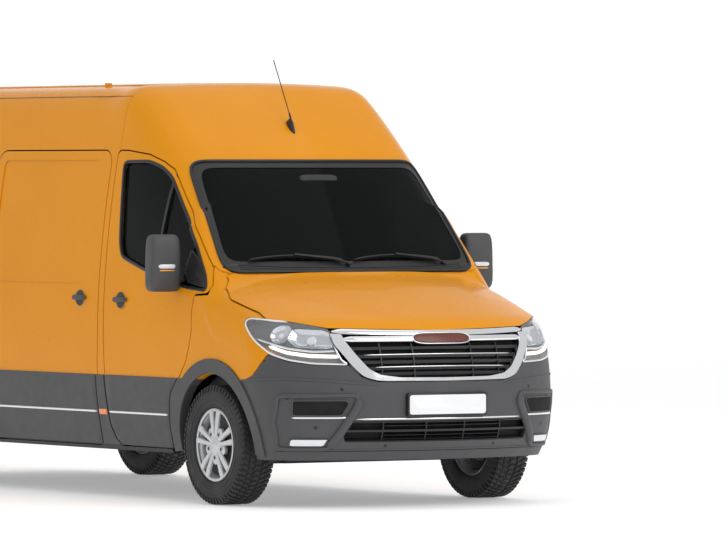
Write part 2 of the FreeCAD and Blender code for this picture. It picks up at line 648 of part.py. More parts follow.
def chassis_nodes():
    nodes = {}
    nodes["engine_block"] = box(-430, 430, FRONT_AXLE_Y - 640, FRONT_AXLE_Y - 120, 540, 1010)
    hub_x = TRACK_HALF - 20
    steps = [(0, 45), (hub_x - 140, 45), (hub_x - 140, 90), (hub_x, 90), (hub_x, 28), (TRACK_HALF + 40, 28)]
    steps += [(TRACK_HALF + 40, 0), (-TRACK_HALF - 40, 0)]
    steps += [(-x, r) for x, r in reversed(steps[1:6])]
    profile = Part.Face(outline([V(x, REAR_AXLE_Y, TYRE_R + r) for x, r in steps]))
    axle = profile.revolve(V(0, REAR_AXLE_Y, TYRE_R), V(1, 0, 0), 360)
    for side in (-1, 1):
        x = side * RAIL_X
        leaf = [(-700, 408), (-350, 402), (0, 400), (350, 402), (700, 408)]
        under = [(700, 396), (350, 386), (60, 382), (60, 350)]
        under += [(-60, 350), (-60, 382), (-350, 386), (-700, 396)]
        points = [(REAR_AXLE_Y + y, z) for y, z in leaf + under]
        axle = axle.fuse(prism("X", points, x - 35, x + 35))
    nodes["rear_axle"] = tidy(axle)

    beam = box(-540, 540, FRONT_AXLE_Y - 60, FRONT_AXLE_Y + 60, 235, 300)
    for side in (-1, 1):
        x0, x1 = sorted((side * 500, side * (KINGPIN_X - 60)))
        beam = beam.fuse(box(x0, x1, FRONT_AXLE_Y - 35, FRONT_AXLE_Y + 35, 235, 262))
        x0, x1 = sorted((side * 460, side * 540))
        beam = beam.fuse(box(x0, x1, FRONT_AXLE_Y - 50, FRONT_AXLE_Y + 50, 262, 415))
        strut_x = side * (KINGPIN_X - 100)
        beam = beam.fuse(rod((strut_x, FRONT_AXLE_Y, 250), (strut_x, FRONT_AXLE_Y, 740), 24))
        beam = beam.fuse(rod((strut_x, FRONT_AXLE_Y, TYRE_R * 2 + 10), (strut_x, FRONT_AXLE_Y, 740), 50))
    nodes["front_suspension"] = tidy(beam)

    knuckle = rod((KINGPIN_X - 40, FRONT_AXLE_Y, TYRE_R), (TRACK_HALF - 10, FRONT_AXLE_Y, TYRE_R), 62)
    axle_end = (TRACK_HALF + 40, FRONT_AXLE_Y, TYRE_R)
    knuckle = knuckle.fuse(rod((TRACK_HALF - 11, FRONT_AXLE_Y, TYRE_R), axle_end, 28))
    knuckle = knuckle.fuse(box(KINGPIN_X - 40, KINGPIN_X - 5, FRONT_AXLE_Y - 30, FRONT_AXLE_Y + 30, 240, 460))
    nodes["knuckle_left"] = tidy(knuckle)
    nodes["knuckle_right"] = mirrored(tidy(knuckle))

    tank = box(90, 430, -300, 560, 330, 415)
    nodes["fuel_tank"] = tank.makeFillet(30, tank.Edges)
    exhaust = rod((-260, FRONT_AXLE_Y + 130, 380), (-260, 300, 380), 32)
    exhaust = exhaust.fuse(rod((-260, 260, 365), (-260, 900, 365), 95))
    exhaust = exhaust.fuse(rod((-260, 880, 375), (-260, 1150, 375), 30))
    exhaust = exhaust.fuse(rod((-260, 1150, 375), (-735, 1150, 350), 30))
    exhaust = exhaust.fuse(Part.makeSphere(30, V(-260, 1150, 375)))
    nodes["exhaust"] = tidy(exhaust)
    return nodes


def wheel_nodes():
    nodes = {}
    for end, y in (("front", FRONT_AXLE_Y), ("rear", REAR_AXLE_Y)):
        half = TYRE_WIDTH / 2
        profile = [(-half + 22, RIM_R + 1), (-half, 250), (-half, 300)]
        profile += [(-half + 28, TYRE_R - 8), (-half + 50, TYRE_R)]
        profile += [(-x, r) for x, r in reversed(profile)]
        face = Part.Face(outline([V(TRACK_HALF + x, y, TYRE_R + r) for x, r in profile], 14))
        tyre = face.revolve(V(0, y, TYRE_R), V(1, 0, 0), 360)
        ring = wheel_space(RIM_R, y, TRACK_HALF - half + 20, TRACK_HALF + half - 20)
        ring = ring.cut(wheel_space(RIM_R - 10, y, TRACK_HALF - half, TRACK_HALF + half))
        disc = wheel_space(RIM_R - 8, y, TRACK_HALF + 48, TRACK_HALF + 76)
        hub = wheel_space(80, y, TRACK_HALF + 5, TRACK_HALF + 88)
        bore = wheel_space(33, y, TRACK_HALF, TRACK_HALF + 50)
        wheel = ring.fuse(disc).fuse(hub).cut(bore)
        for i in range(10):
            turn = math.radians(36 * i + 18)
            centre = V(0, y + 150 * math.sin(turn), TYRE_R + 150 * math.cos(turn))
            hole = Part.makeCylinder(24, 60, V(TRACK_HALF + 30, centre.y, centre.z), V(1, 0, 0))
            wheel = wheel.cut(hole)
        for name, shape in (("tyre", tyre), ("wheel", wheel)):
            shape = tidy(shape)
            nodes[f"{end}_left_{name}"] = shape
            nodes[f"{end}_right_{name}"] = mirrored(shape)
    return nodes


def fitted_nodes(cab_frame):
    nodes = {}
    arm = box(-HALF_W - 30, -HALF_W + 20, MIRROR_Y + 20, MIRROR_Y + 110, 1290, 1330)
    head = box(-HALF_W - 195, -HALF_W - 20, MIRROR_Y, MIRROR_Y + 120, 1235, 1575)
    head = head.makeFillet(35, head.Edges)
    nodes["mirror_right"] = tidy(head.fuse(arm))
    nodes["mirror_left"] = mirrored(nodes["mirror_right"])

    y0 = FRONT_AXLE_Y + 740
    z0 = top_surface(0, y0, 0)
    slope = math.radians(41)
    up = V(0, -math.sin(slope), math.cos(slope))
    along = V(0, math.cos(slope), math.sin(slope))
    foot = V(0, y0, z0) - up * 4
    fin = Part.Face(
        Part.makePolygon([foot - along * 50, foot + along * 62, foot + along * 52 + up * 38]
                         + [foot + along * 30 + up * 46, foot - along * 50])
    )
    fin = fin.extrude(V(36, 0, 0))
    fin.translate(V(-18, 0, 0))
    tip = V(0, FRONT_AXLE_Y + 956, 2609)
    start = foot + along * 42 + up * 30
    mast = Part.makeCylinder(3, (tip - start).Length, start, tip - start)
    above = fin.fuse(mast).cut(hoop_body(spread(y0 - 180, y0 + 180, 9), 0.0, SILL_Z))
    nodes["aerial"] = tidy(above.cut(cab_frame))

    bar = box(-HALF_W + 30, HALF_W - 30, TAIL_Y - BUMPER_DEPTH, TAIL_Y + REAR_STEP, 400, REAR_OPEN_Z[0] - 14)
    inside = box(-HALF_W + 60, HALF_W - 60, TAIL_Y - BUMPER_DEPTH - 10, TAIL_Y - 20, 390, REAR_OPEN_Z[0])
    bar = bar.cut(inside)
    nodes["rear_bumper"] = tidy(bar)
    lamp = box(HALF_W - 92, HALF_W - 20, TAIL_Y - 30, TAIL_Y + 3, 860, 1300)
    nodes["tail_lamps"] = both(lamp.cut(body_core()))

    dash = at_axle([(125, 940), (125, 1190), (200, 1262), (330, 1262), (440, 1180), (450, 1010), (400, 940)])
    nodes["dashboard"] = prism("X", dash, -780, 780, 40)
    centre = V(STEERING_X, FRONT_AXLE_Y + 560, 1160)
    lean = V(0, math.sin(math.radians(28)), math.cos(math.radians(28)))
    rim = Part.makeTorus(185, 16, centre, lean)
    hub = Part.makeCylinder(60, 30, centre - lean * 25, lean)
    wheel = rim.fuse(hub)
    across = V(1, 0, 0)
    for direction in (across, -across, lean.cross(across)):
        wheel = wheel.fuse(Part.makeCylinder(12, 180, centre - lean * 5, direction))
    column = Part.makeCylinder(22, 130, centre - lean * 20, -lean)
    nodes["steering_wheel"] = tidy(wheel.fuse(column).cut(nodes["dashboard"]))

    seat_y = BULKHEAD_Y - 30
    seats = {"driver": (180, 660), "passenger": (-820, 60)}
    bases, cushions, backs = [], [], []
    for x0, x1 in seats.values():
        bases.append(box(x0 + 30, x1 - 30, seat_y - 560, seat_y - 120, CAB_FLOOR_Z, 820))
        cushion = box(x0, x1, seat_y - 640, seat_y - 130, 822, 950)
        cushions.append(cushion.makeFillet(40, cushion.Edges))
        profile = [(seat_y - 230, 960), (seat_y - 100, 960), (seat_y - 6, 1600), (seat_y - 116, 1600)]
        back = prism("X", profile, x0, x1, 45)
        backs.append(back)
        places = [(x0 + x1) / 2] if x1 - x0 < 600 else [x0 + 220, x1 - 220]
        for x in places:
            head = box(x - 130, x + 130, seat_y - 110, seat_y - 4, 1606, 1800)
            backs.append(head.makeFillet(35, head.Edges))
    nodes["seat_bases"] = Part.makeCompound(bases)
    nodes["seat_cushions"] = Part.makeCompound(cushions)
    nodes["seat_backs"] = Part.makeCompound(backs)
    return nodes


def body_core():
    """The full body at the tail, for what sits on its corners."""
    stations = [TAIL_Y - d for d in (500, 300, 190, 130, 90, 60, 40, 24, 12, 3)]
    return hoop_body(stations, -1.0, SILL_Z)


def main():
    os.makedirs("parts", exist_ok=True)
    nodes, wall = shell_nodes()
    nodes.update(nose_nodes(wall))
    nodes.update(glass_nodes())
    nodes.update(floor_nodes())
    nodes.update(chassis_nodes())
    nodes.update(wheel_nodes())
    nodes.update(fitted_nodes(nodes["cab_frame"]))
    for name, shape in nodes.items():
        shape = tidy(shape)
        print(name, len(shape.Solids), shape.isValid(), round(shape.Volume / 1e6, 2))
        shape.exportStep(f"parts/{name}.step")


if __name__ == "__main__":
    main()
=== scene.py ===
"""Panel van: paint, trim, lamps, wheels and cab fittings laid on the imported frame.

Shapes are worked out in millimetres, +Z up, -Y the nose, +X the van's left, and become metres in
piece(). skin() is the closed outer surface of the body: negative inside, zero on the paint.
"""
import json
import math

import bmesh
import bpy
import numpy as np
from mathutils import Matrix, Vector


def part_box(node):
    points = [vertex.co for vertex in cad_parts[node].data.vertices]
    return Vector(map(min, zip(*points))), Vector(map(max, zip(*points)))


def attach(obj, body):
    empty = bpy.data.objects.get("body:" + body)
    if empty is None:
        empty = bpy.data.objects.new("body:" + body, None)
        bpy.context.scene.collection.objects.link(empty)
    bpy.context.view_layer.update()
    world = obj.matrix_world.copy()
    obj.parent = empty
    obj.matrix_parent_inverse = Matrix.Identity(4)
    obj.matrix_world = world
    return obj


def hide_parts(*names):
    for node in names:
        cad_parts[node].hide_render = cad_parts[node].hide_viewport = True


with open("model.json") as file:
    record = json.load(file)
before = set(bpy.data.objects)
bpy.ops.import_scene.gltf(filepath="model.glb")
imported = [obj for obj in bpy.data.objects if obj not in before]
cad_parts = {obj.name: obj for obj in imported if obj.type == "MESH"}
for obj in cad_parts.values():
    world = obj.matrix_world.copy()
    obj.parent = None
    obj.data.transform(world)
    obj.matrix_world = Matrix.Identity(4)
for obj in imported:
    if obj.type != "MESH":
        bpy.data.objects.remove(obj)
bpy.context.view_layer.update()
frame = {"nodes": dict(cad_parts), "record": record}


# ---- places taken from the frame -----------------------------------------------------------------
def middle(node):
    low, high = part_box(node)
    return [500 * (a + b) for a, b in zip(low, high)]


FRONT, TYRE_R = middle("front_left_tyre")[1:]
REAR = middle("rear_left_tyre")[1]
ROOF_Z = 1000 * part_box("cab_frame")[1].z
NOSE_Y = FRONT - 990
TAIL_Y = 1000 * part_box("rear_door_left")[1].y
HALF_W = 1000.0
CAB_TOP_Z = ROOF_Z - 467
DOOR_REAR = FRONT + 1265
SLIDE = (DOOR_REAR + 68, DOOR_REAR + 68 + 1385)
ARCH_R = 415
CLAD_Z = 733
NOSE_CENTRE = FRONT - 300
PLATE = (520, 112)
PLATE_Z = 598
BADGE_Z = 972
BRIGHT_STRIP_Z = 512


# ---- the body's outer surface --------------------------------------------------------------------
def smooth_max(a, b, r):
    """The larger of two distances, with the edge between them rounded over about r."""
    d = np.maximum(r - np.abs(a - b), 0)
    return np.maximum(a, b) + d * d / (4 * r)


def smooth_min(a, b, r):
    return -smooth_max(-a, -b, r)


def half_width(y, z):
    """Half the width: tucked in below 735, leaning in above 1000, tapering to the windscreen."""
    up = np.clip(z - 1000, 0, None) / 1000
    ahead = np.clip(FRONT + 1265 - y, 0, None) / 1000
    tuck = 60 * (np.clip(735 - z, 0, None) / 435) ** 1.5
    return HALF_W - tuck - 110 * (up / 1.066) ** 1.75 - 177 * up**2 * ahead**2


def top_height(x, y):
    """Bonnet, windscreen, header and roof line, swept back to the sides."""
    s = y - 90 * (x / 800) ** 2 - FRONT
    d, e = s + 937, s - 527
    bonnet = 1031 + 0.45 * d - 0.00011 * d * d - 85 * (np.abs(x) / 950) ** 3
    screen = CAB_TOP_Z + 1.14 * e - 0.00006 * e * e
    header = np.where(e < 1500, CAB_TOP_Z + 0.9 * e - 0.00018 * e * e, ROOF_Z + 500)
    roof = ROOF_Z - 30 * (x / 800) ** 2
    return smooth_min(smooth_max(bonnet, smooth_min(screen, header, 30), 40), roof, 60)


def skin(p):
    """Distance-like function of the closed body for an array of points."""
    x, y, z = np.abs(p[..., 0]), p[..., 1], p[..., 2]
    side = x - half_width(y, z)
    top = (z - top_height(x, y)) * np.where(y < FRONT + 1100, 0.70, 1.0)
    f = smooth_max(side, top, np.where(y > FRONT + 400, 170.0, 110.0))
    line = np.where(z < 520, 9 + 95 * ((520 - z) / 242) ** 2, 9 + 0.14 * (z - 700))
    line = np.where((z >= 520) & (z < 700), 4 + 5 * ((z - 610) / 90) ** 2, line)
    u = x / HALF_W
    face = NOSE_Y + line + 285 * u * u + 120 * u**8
    f = np.where(y < FRONT + 200, smooth_max(f, face - y, 150.0), f)
    return np.where(y > REAR, smooth_max(f, y - TAIL_Y, 70.0), f)


def outward(p):
    """Unit normals of the skin from central differences."""
    steps = np.eye(3)
    g = np.stack([skin(p + e) - skin(p - e) for e in steps], -1)
    return g / np.maximum(np.linalg.norm(g, axis=-1, keepdims=True), 1e-9)


def land(start, way, out=0.0):
    """Where rays that start outside the body first meet the skin, then moved out along its normal."""
    start, way = np.broadcast_arrays(np.asarray(start, float), np.asarray(way, float))
    reach = np.linspace(0, 1700, 90)
    values = skin(start[..., None, :] + way[..., None, :] * reach[:, None])
    first = np.argmax(values < 0, axis=-1)
    first = np.where((values < 0).any(-1), np.maximum(first, 1), 45)
    low, high = reach[first - 1], reach[first]
    for _ in range(22):
        mid = (low + high) / 2
        inside = skin(start + way * mid[..., None]) < 0
        low, high = np.where(inside, low, mid), np.where(inside, mid, high)
    p = start + way * high[..., None]
    return p + outward(p) * np.asarray(out)[..., None]


def stack(a, b, c):
    return np.stack(np.broadcast_arrays(np.asarray(a, float), b, c), -1)


def on_front(x, z, out=0.0):
    """Skin point seen from straight ahead."""
    return land(stack(x, NOSE_Y - 60, z), (0, 1, 0), out)


def on_nose(x, y, z, out=0.0):
    """Skin point at a height, found from outside towards the middle of the nose."""
    away = stack(x, np.asarray(y) - NOSE_CENTRE, 0 * np.asarray(z, float))
    away = away / np.linalg.norm(away, axis=-1, keepdims=True)
    start = stack(0, NOSE_CENTRE, z) + away * 1300
    return land(start, -away, out)


def on_side(y, z, out=0.0, side=-1):
    """Skin point seen from the side."""
    return land(stack(side * (HALF_W + 60), y, z), (-side, 0, 0), out)


def on_top(x, y, out=0.0):
    """Skin point seen from above."""
    return land(stack(x, y, ROOF_Z + 60), (0, 0, -1), out)


def on_tail(x, z, out=0.0):
    """Skin point seen from behind."""
    return land(stack(x, TAIL_Y + 60, z), (0, -1, 0), out)


# ---- curves and surfaces -------------------------------------------------------------------------
def run(points, count, closed=False, soften=0):
    """Evenly spaced points along a polyline, its corners rounded by averaging neighbours."""
    p = np.asarray(points, float)
    p = np.vstack([p, p[:1]]) if closed else p
    s = np.concatenate([[0], np.cumsum(np.linalg.norm(np.diff(p, axis=0), axis=1))])
    t = np.linspace(0, s[-1], count + 1)[:-1] if closed else np.linspace(0, s[-1], count)
    q = np.stack([np.interp(t, s, p[:, k]) for k in range(p.shape[1])], -1)
    for _ in range(soften):
        if closed:
            q = (np.roll(q, 1, 0) + 2 * q + np.roll(q, -1, 0)) / 4
        else:
            q[1:-1] = (q[:-2] + 2 * q[1:-1] + q[2:]) / 4
    return q


def sheet(grid, round_rows=False, round_cols=False, ends=False):
    """Points and quads of a rows x columns grid, rows or columns joined round if asked."""
    rows, cols = grid.shape[:2]
    r = np.arange(rows if round_rows else rows - 1)[:, None]
    c = np.arange(cols if round_cols else cols - 1)[None, :]
    r2, c2 = (r + 1) % rows, (c + 1) % cols
    quads = np.stack([r * cols + c, r * cols + c2, r2 * cols + c2, r2 * cols + c], -1).reshape(-1, 4)
    faces = quads.tolist()
    if ends:
        faces.append(list(range(cols))[::-1])
        faces.append(list(range((rows - 1) * cols, rows * cols)))
    return grid.reshape(-1, 3), faces


def frames(path, normal, closed):
    """Tangent, outward and sideways unit vectors along a path."""
    if closed:
        tangent = np.roll(path, -1, 0) - np.roll(path, 1, 0)
    else:
        tangent = np.gradient(path, axis=0)
    tangent /= np.linalg.norm(tangent, axis=1, keepdims=True)
    across = np.cross(tangent, normal)
    across /= np.maximum(np.linalg.norm(across, axis=1, keepdims=True), 1e-9)
    return tangent, np.cross(across, tangent), across


def strip(path, profile, normal=None, closed=False, taper=0):
    """A closed profile (across, out) carried along a path; taper points shrink at each open end."""
    path = np.asarray(path, float)
    normal = outward(path) if normal is None else np.broadcast_to(np.asarray(normal, float), path.shape)
    _, up, across = frames(path, normal, closed)
    size = np.ones(len(path))
    if taper:
        size[:taper] = np.sqrt(np.linspace(0.04, 1, taper))
        size[-taper:] = size[:taper][::-1]
    q = np.asarray(profile, float)
    grid = path[:, None] + size[:, None, None] * (across[:, None] * q[:, :1] + up[:, None] * q[:, 1:])
    return sheet(grid, closed, True, not closed)


def bead(width, height, sunk=3, n=9):
    """Profile of a rounded moulding: half an ellipse standing on a strip sunk below the surface."""
    a = np.linspace(0, math.pi, n)
    top = np.stack([width / 2 * np.cos(a), height * np.sin(a) ** 0.7], -1)
    return np.vstack([top, [[-width / 2, -sunk], [width / 2, -sunk]]])


def ring_profile(radius, n=10):
    a = np.arange(n) * 2 * math.pi / n
    return radius * np.stack([np.cos(a), np.sin(a)], -1)


def tube(path, radius, normal=(0.13, 0.21, 0.97), closed=False, n=10):
    """A round section carried along a path."""
    return strip(path, ring_profile(radius, n), normal, closed)


def pad(loop, centre, place, height, sunk=4, rings=9, edge=6.0):
    """A raised plate inside an outline: rings shrink from the outline to the centre, and the height
    rises from the edge as an ellipse does over a width of edge."""
    loop, centre = np.asarray(loop, float), np.asarray(centre, float)
    size = np.linalg.norm(loop - centre, axis=1).mean()
    rim = 1 - edge / size * (1 - np.cos(np.linspace(0, math.pi / 2, 5)))
    r = np.concatenate([rim, np.linspace(rim[-1], 0.0, rings)[1:]])
    rise = np.sqrt(np.clip(1 - (1 - (1 - r) * size / edge).clip(0) ** 2, 0, 1))
    r = np.concatenate([[0.0, 1.0], r])
    rise = np.concatenate([[0, 0], rise])
    base = np.concatenate([[-sunk, -sunk], np.zeros(len(r) - 2)])
    flat = centre + r[:, None, None] * (loop - centre)
    out = base[:, None] + rise[:, None] * height * np.ones(len(loop))
    return sheet(place(flat[..., 0], flat[..., 1], out), False, True)


def panel(lower, upper, place, out, sunk=3, rows=8, lip=6):
    """A plate between two edges with as many points: a column runs from one edge to the other, and the
    plate is turned down to the surface all round."""
    lower, upper = np.asarray(lower, float), np.asarray(upper, float)
    v = np.concatenate([[0, 0], np.linspace(0, 1, rows), [1, 1]])
    u = np.concatenate([[0, 0], np.arange(len(lower)), [len(lower) - 1] * 2]).astype(int)
    lift_v = np.concatenate([[-sunk, out - 2], np.full(rows, out), [out - 2, -sunk]])
    lift_u = np.concatenate([[-sunk, out - 2], np.full(len(lower), out), [out - 2, -sunk]])
    inset = np.concatenate([[0, 0], [lip / 1000], np.zeros(rows - 2), [-lip / 1000], [0, 0]])
    v = np.clip(v + inset, 0, 1)
    flat = lower[u][:, None] * (1 - v)[:, None] + upper[u][:, None] * v[:, None]
    lift = np.minimum(lift_u[:, None], lift_v[None])
    grid = place(flat[..., 0], flat[..., 1], lift)
    rim = grid.copy()
    back = place(flat[..., 0], flat[..., 1], np.full_like(lift, -float(sunk)))
    points, faces = sheet(rim)
    more, under = sheet(back)
    faces += [[i + len(points) for i in f][::-1] for f in under]
    return np.vstack([points, more]), faces


def lathe(profile, centre, side=1, n=96):
    """A profile (out along X, radius) turned about an axle through centre."""
    p = np.asarray(profile, float)
    a = np.arange(n) * 2 * math.pi / n
    x = centre[0] + side * p[:, 0][None] + 0 * a[:, None]
    y = centre[1] + p[:, 1][None] * np.sin(a)[:, None]
    z = centre[2] + p[:, 1][None] * np.cos(a)[:, None]
    return sheet(np.stack([x, y, z], -1), True, True)


def block(centre, half, corner=0.22, n=20):
    """A box with rounded edges: a superellipsoid, whose exponent sets how square it is."""
    u = np.linspace(-math.pi / 2, math.pi / 2, n)[:, None]
    w = np.linspace(0, 2 * math.pi, 2 * n, endpoint=False)[None] + math.pi / (2 * n)

    def power(f):
        return np.sign(f) * np.abs(f) ** corner

    grid = np.stack(
        [
            power(np.cos(u)) * power(np.cos(w)), power(np.cos(u)) * power(np.sin(w)),
            power(np.sin(u)) + 0 * w
        ], -1
    )
    return sheet(np.asarray(centre, float) + grid * np.asarray(half, float), False, True)


def slab(loop, place, near, far, lip=2.0):
    """A closed outline carried from near to far, its end edges rounded by a small inset."""
    loop = np.asarray(loop, float)
    centre = loop.mean(0)
    size = np.linalg.norm(loop - centre, axis=1).mean()
    way = math.copysign(1, far - near)
    rows = [(near, 1 - lip / size), (near + way * lip, 1.0), (far - way * lip, 1.0), (far, 1 - lip / size)]
    grid = np.stack([place(centre + k * (loop - centre), d) for d, k in rows])
    return sheet(grid, False, True, True)


def moved(part, matrix=None, by=(0, 0, 0), about=(0, 0, 0)):
    points, faces = part
    about = np.asarray(about, float)
    points = points - about
    if matrix is not None:
        points = points @ np.asarray(matrix).T
    return points + about + np.asarray(by, float), faces


def turn(axis, degrees):
    """Rotation matrix about X, Y or Z."""
    c, s = math.cos(math.radians(degrees)), math.sin(math.radians(degrees))
    return {
        "X": np.array([[1, 0, 0], [0, c, -s], [0, s, c]]),
        "Y": np.array([[c, 0, s], [0, 1, 0], [-s, 0, c]]),
        "Z": np.array([[c, -s, 0], [s, c, 0], [0, 0, 1]]),
    }[axis]


def flipped(part):
    """Mirror image across the van's middle plane."""
    points, faces = part
    return points * (-1, 1, 1), faces


def both(parts):
    return parts + [flipped(p) for p in parts]


def piece(name, parts, finish, body="root", replaces=(), crease=38, recalc=True):
    """One mesh object from parts in millimetres, seams merged and faces pointing outwards."""
    points, faces, start = [], [], 0
    for p, f in parts:
        points.append(p)
        faces += [[i + start for i in face] for face in f]
        start += len(p)
    mesh = bpy.data.meshes.new(name)
    mesh.from_pydata((np.vstack(points) * 0.001).tolist(), [], faces)
    shape = bmesh.new()
    shape.from_mesh(mesh)
    bmesh.ops.remove_doubles(shape, verts=shape.verts, dist=2e-5)
    bmesh.ops.dissolve_degenerate(shape, edges=shape.edges, dist=1e-6)
    if recalc:
        bmesh.ops.recalc_face_normals(shape, faces=shape.faces)
    shape.to_mesh(mesh)
    shape.free()
    mesh.shade_smooth()
    mesh.set_sharp_from_angle(angle=math.radians(crease))
    obj = bpy.data.objects.new(name, mesh)
    bpy.context.scene.collection.objects.link(obj)
    mesh.materials.append(finish["material"])
    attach(obj, body)
    if replaces:
        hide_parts(*replaces)
    return obj


# ---- finishes ------------------------------------------------------------------------------------
def nodes_of(name):
    material = bpy.data.materials.new(name)
    material.use_nodes = True
    tree = material.node_tree
    return material, tree, tree.nodes["Principled BSDF"]


def link(tree, a, b):
    tree.links.new(a, b)


def math_node(tree, kind, a, b=0.5):
    node = tree.nodes.new("ShaderNodeMath")
    node.operation = kind
    for socket, value in zip(node.inputs, (a, b)):
        if isinstance(value, (int, float)):
            socket.default_value = value
        else:
            link(tree, value, socket)
    return node.outputs[0]


def noise(tree, scale, detail=3.0, coords=None):
    """Noise on Object coordinates, scale in features a metre."""
    node = tree.nodes.new("ShaderNodeTexNoise")
    node.inputs["Scale"].default_value = scale
    node.inputs["Detail"].default_value = detail
    if coords is None:
        coords = tree.nodes.new("ShaderNodeTexCoord").outputs["Object"]
    link(tree, coords, node.inputs["Vector"])
    return node.outputs["Fac"]


def mixed(tree, fac, a, b):
    """Colour mix of two colours, each four numbers or a socket."""
    node = tree.nodes.new("ShaderNodeMix")
    node.data_type = "RGBA"
    link(tree, fac, node.inputs[0])
    for socket, value in ((node.inputs[6], a), (node.inputs[7], b)):
        if isinstance(value, tuple):
            socket.default_value = value
        else:
            link(tree, value, socket)
    return node.outputs[2]


def ranged(tree, value, low, high, start=0.0, end=1.0):
    node = tree.nodes.new("ShaderNodeMapRange")
    link(tree, value, node.inputs["Value"])
    node.inputs["From Min"].default_value = start
    node.inputs["From Max"].default_value = end
    node.inputs["To Min"].default_value = low
    node.inputs["To Max"].default_value = high
    return node.outputs["Result"]


def rgba(r, g, b, k=1.0):
    return (r * k, g * k, b * k, 1.0)


def bumped(tree, shader, height, strength, distance):
    node = tree.nodes.new("ShaderNodeBump")
    node.inputs["Strength"].default_value = strength
    node.inputs["Distance"].default_value = distance
    link(tree, height, node.inputs["Height"])
    link(tree, node.outputs["Normal"], shader.inputs["Normal"])


FINISHES = {}


def finish(name, slot, colour, rough, metal=0.0, coat=0.0, grain=(900, 0.0), cloud=(3.0, 0.08), smear=0.06):
    """A solid finish: slow colour variation, smeared roughness and a fine surface grain."""
    material, tree, shader = nodes_of(name)
    drift = ranged(tree, noise(tree, cloud[0], 5.0), -cloud[1], cloud[1])
    dark, light = rgba(*colour, 1 - cloud[1] * 1.5), rgba(*colour, 1 + cloud[1] * 1.5)
    tone = ranged(tree, drift, 0, 1, -cloud[1], cloud[1])
    link(tree, mixed(tree, tone, dark, light), shader.inputs["Base Color"])
    wiped = ranged(tree, noise(tree, 14.0, 4.0), rough - smear, rough + smear, 0.3, 0.7)
    link(tree, wiped, shader.inputs["Roughness"])
    shader.inputs["Metallic"].default_value = metal
    shader.inputs["Coat Weight"].default_value = coat
    shader.inputs["Coat Roughness"].default_value = 0.03
    if grain[1]:
        bumped(tree, shader, noise(tree, grain[0], 2.0), 0.5, grain[1])
    FINISHES[name] = {"material": material, "slot": slot}
    return FINISHES[name]


def paint_finish():
    """Orange enamel under clear lacquer, grey below the cladding line, primer on faces turned inwards."""
    material, tree, shader = nodes_of("orange_enamel")
    coords = tree.nodes.new("ShaderNodeTexCoord")
    place = tree.nodes.new("ShaderNodeSeparateXYZ")
    facing = tree.nodes.new("ShaderNodeSeparateXYZ")
    link(tree, coords.outputs["Object"], place.inputs[0])
    link(tree, coords.outputs["Normal"], facing.inputs[0])
    low = math_node(tree, "LESS_THAN", place.outputs["Z"], (CLAD_Z - 4) * 0.001)
    sideways = math_node(tree, "MULTIPLY", place.outputs["X"], facing.outputs["X"])
    inward = math_node(tree, "LESS_THAN", sideways, -0.22)
    down = math_node(tree, "LESS_THAN", facing.outputs["Z"], -0.45)
    over = math_node(tree, "GREATER_THAN", place.outputs["Z"], 0.9)
    down = math_node(tree, "MULTIPLY", down, over)
    forward = math_node(tree, "LESS_THAN", facing.outputs["Y"], -0.8)
    behind = math_node(tree, "GREATER_THAN", place.outputs["Y"], (TAIL_Y - 140) * 0.001)
    forward = math_node(tree, "MULTIPLY", forward, behind)
    inside = math_node(tree, "MAXIMUM", math_node(tree, "MAXIMUM", inward, down), forward)
    fade = ranged(tree, noise(tree, 1.6, 2.0), 0, 1, 0.3, 0.7)
    orange = mixed(tree, fade, rgba(0.755, 0.285, 0.002), rgba(0.79, 0.300, 0.003))
    lined = math_node(tree, "LESS_THAN", place.outputs["Y"], (DOOR_REAR + 20) * 0.001)
    primer = mixed(tree, lined, rgba(0.30, 0.30, 0.31), rgba(0.045, 0.045, 0.048))
    tone = mixed(tree, low, orange, rgba(0.055, 0.055, 0.058))
    link(tree, mixed(tree, inside, tone, primer), shader.inputs["Base Color"])
    dull = math_node(tree, "MAXIMUM", low, inside)
    gloss = ranged(tree, noise(tree, 9.0, 3.0), 0.26, 0.34, 0.3, 0.7)
    rough = math_node(tree, "ADD", gloss, math_node(tree, "MULTIPLY", dull, 0.3))
    link(tree, rough, shader.inputs["Roughness"])
    shader.inputs["Specular IOR Level"].default_value = 0.08
    shader.inputs["Coat Weight"].default_value = 0.22
    shader.inputs["Coat Roughness"].default_value = 0.04
    bumped(tree, shader, noise(tree, 260.0, 2.0), 0.10, 0.00006)
    FINISHES["orange_enamel"] = {"material": material, "slot": "body_paint"}


def glass_finish(name, slot, colour, alpha, rough=0.02, shine=0.5):
    """See-through gloss: a tint of the given colour and alpha with the reflection of its surface; a
    near-black tint at high alpha is painted shade of what lies behind the glass.
    """
    material, tree, shader = nodes_of(name)
    film = ranged(tree, noise(tree, 6.0, 4.0), rough, rough + 0.03, 0.35, 0.7)
    link(tree, film, shader.inputs["Roughness"])
    shader.inputs["Base Color"].default_value = rgba(*colour)
    shader.inputs["Alpha"].default_value = alpha
    shader.inputs["Specular IOR Level"].default_value = shine
    FINISHES[name] = {"material": material, "slot": slot}


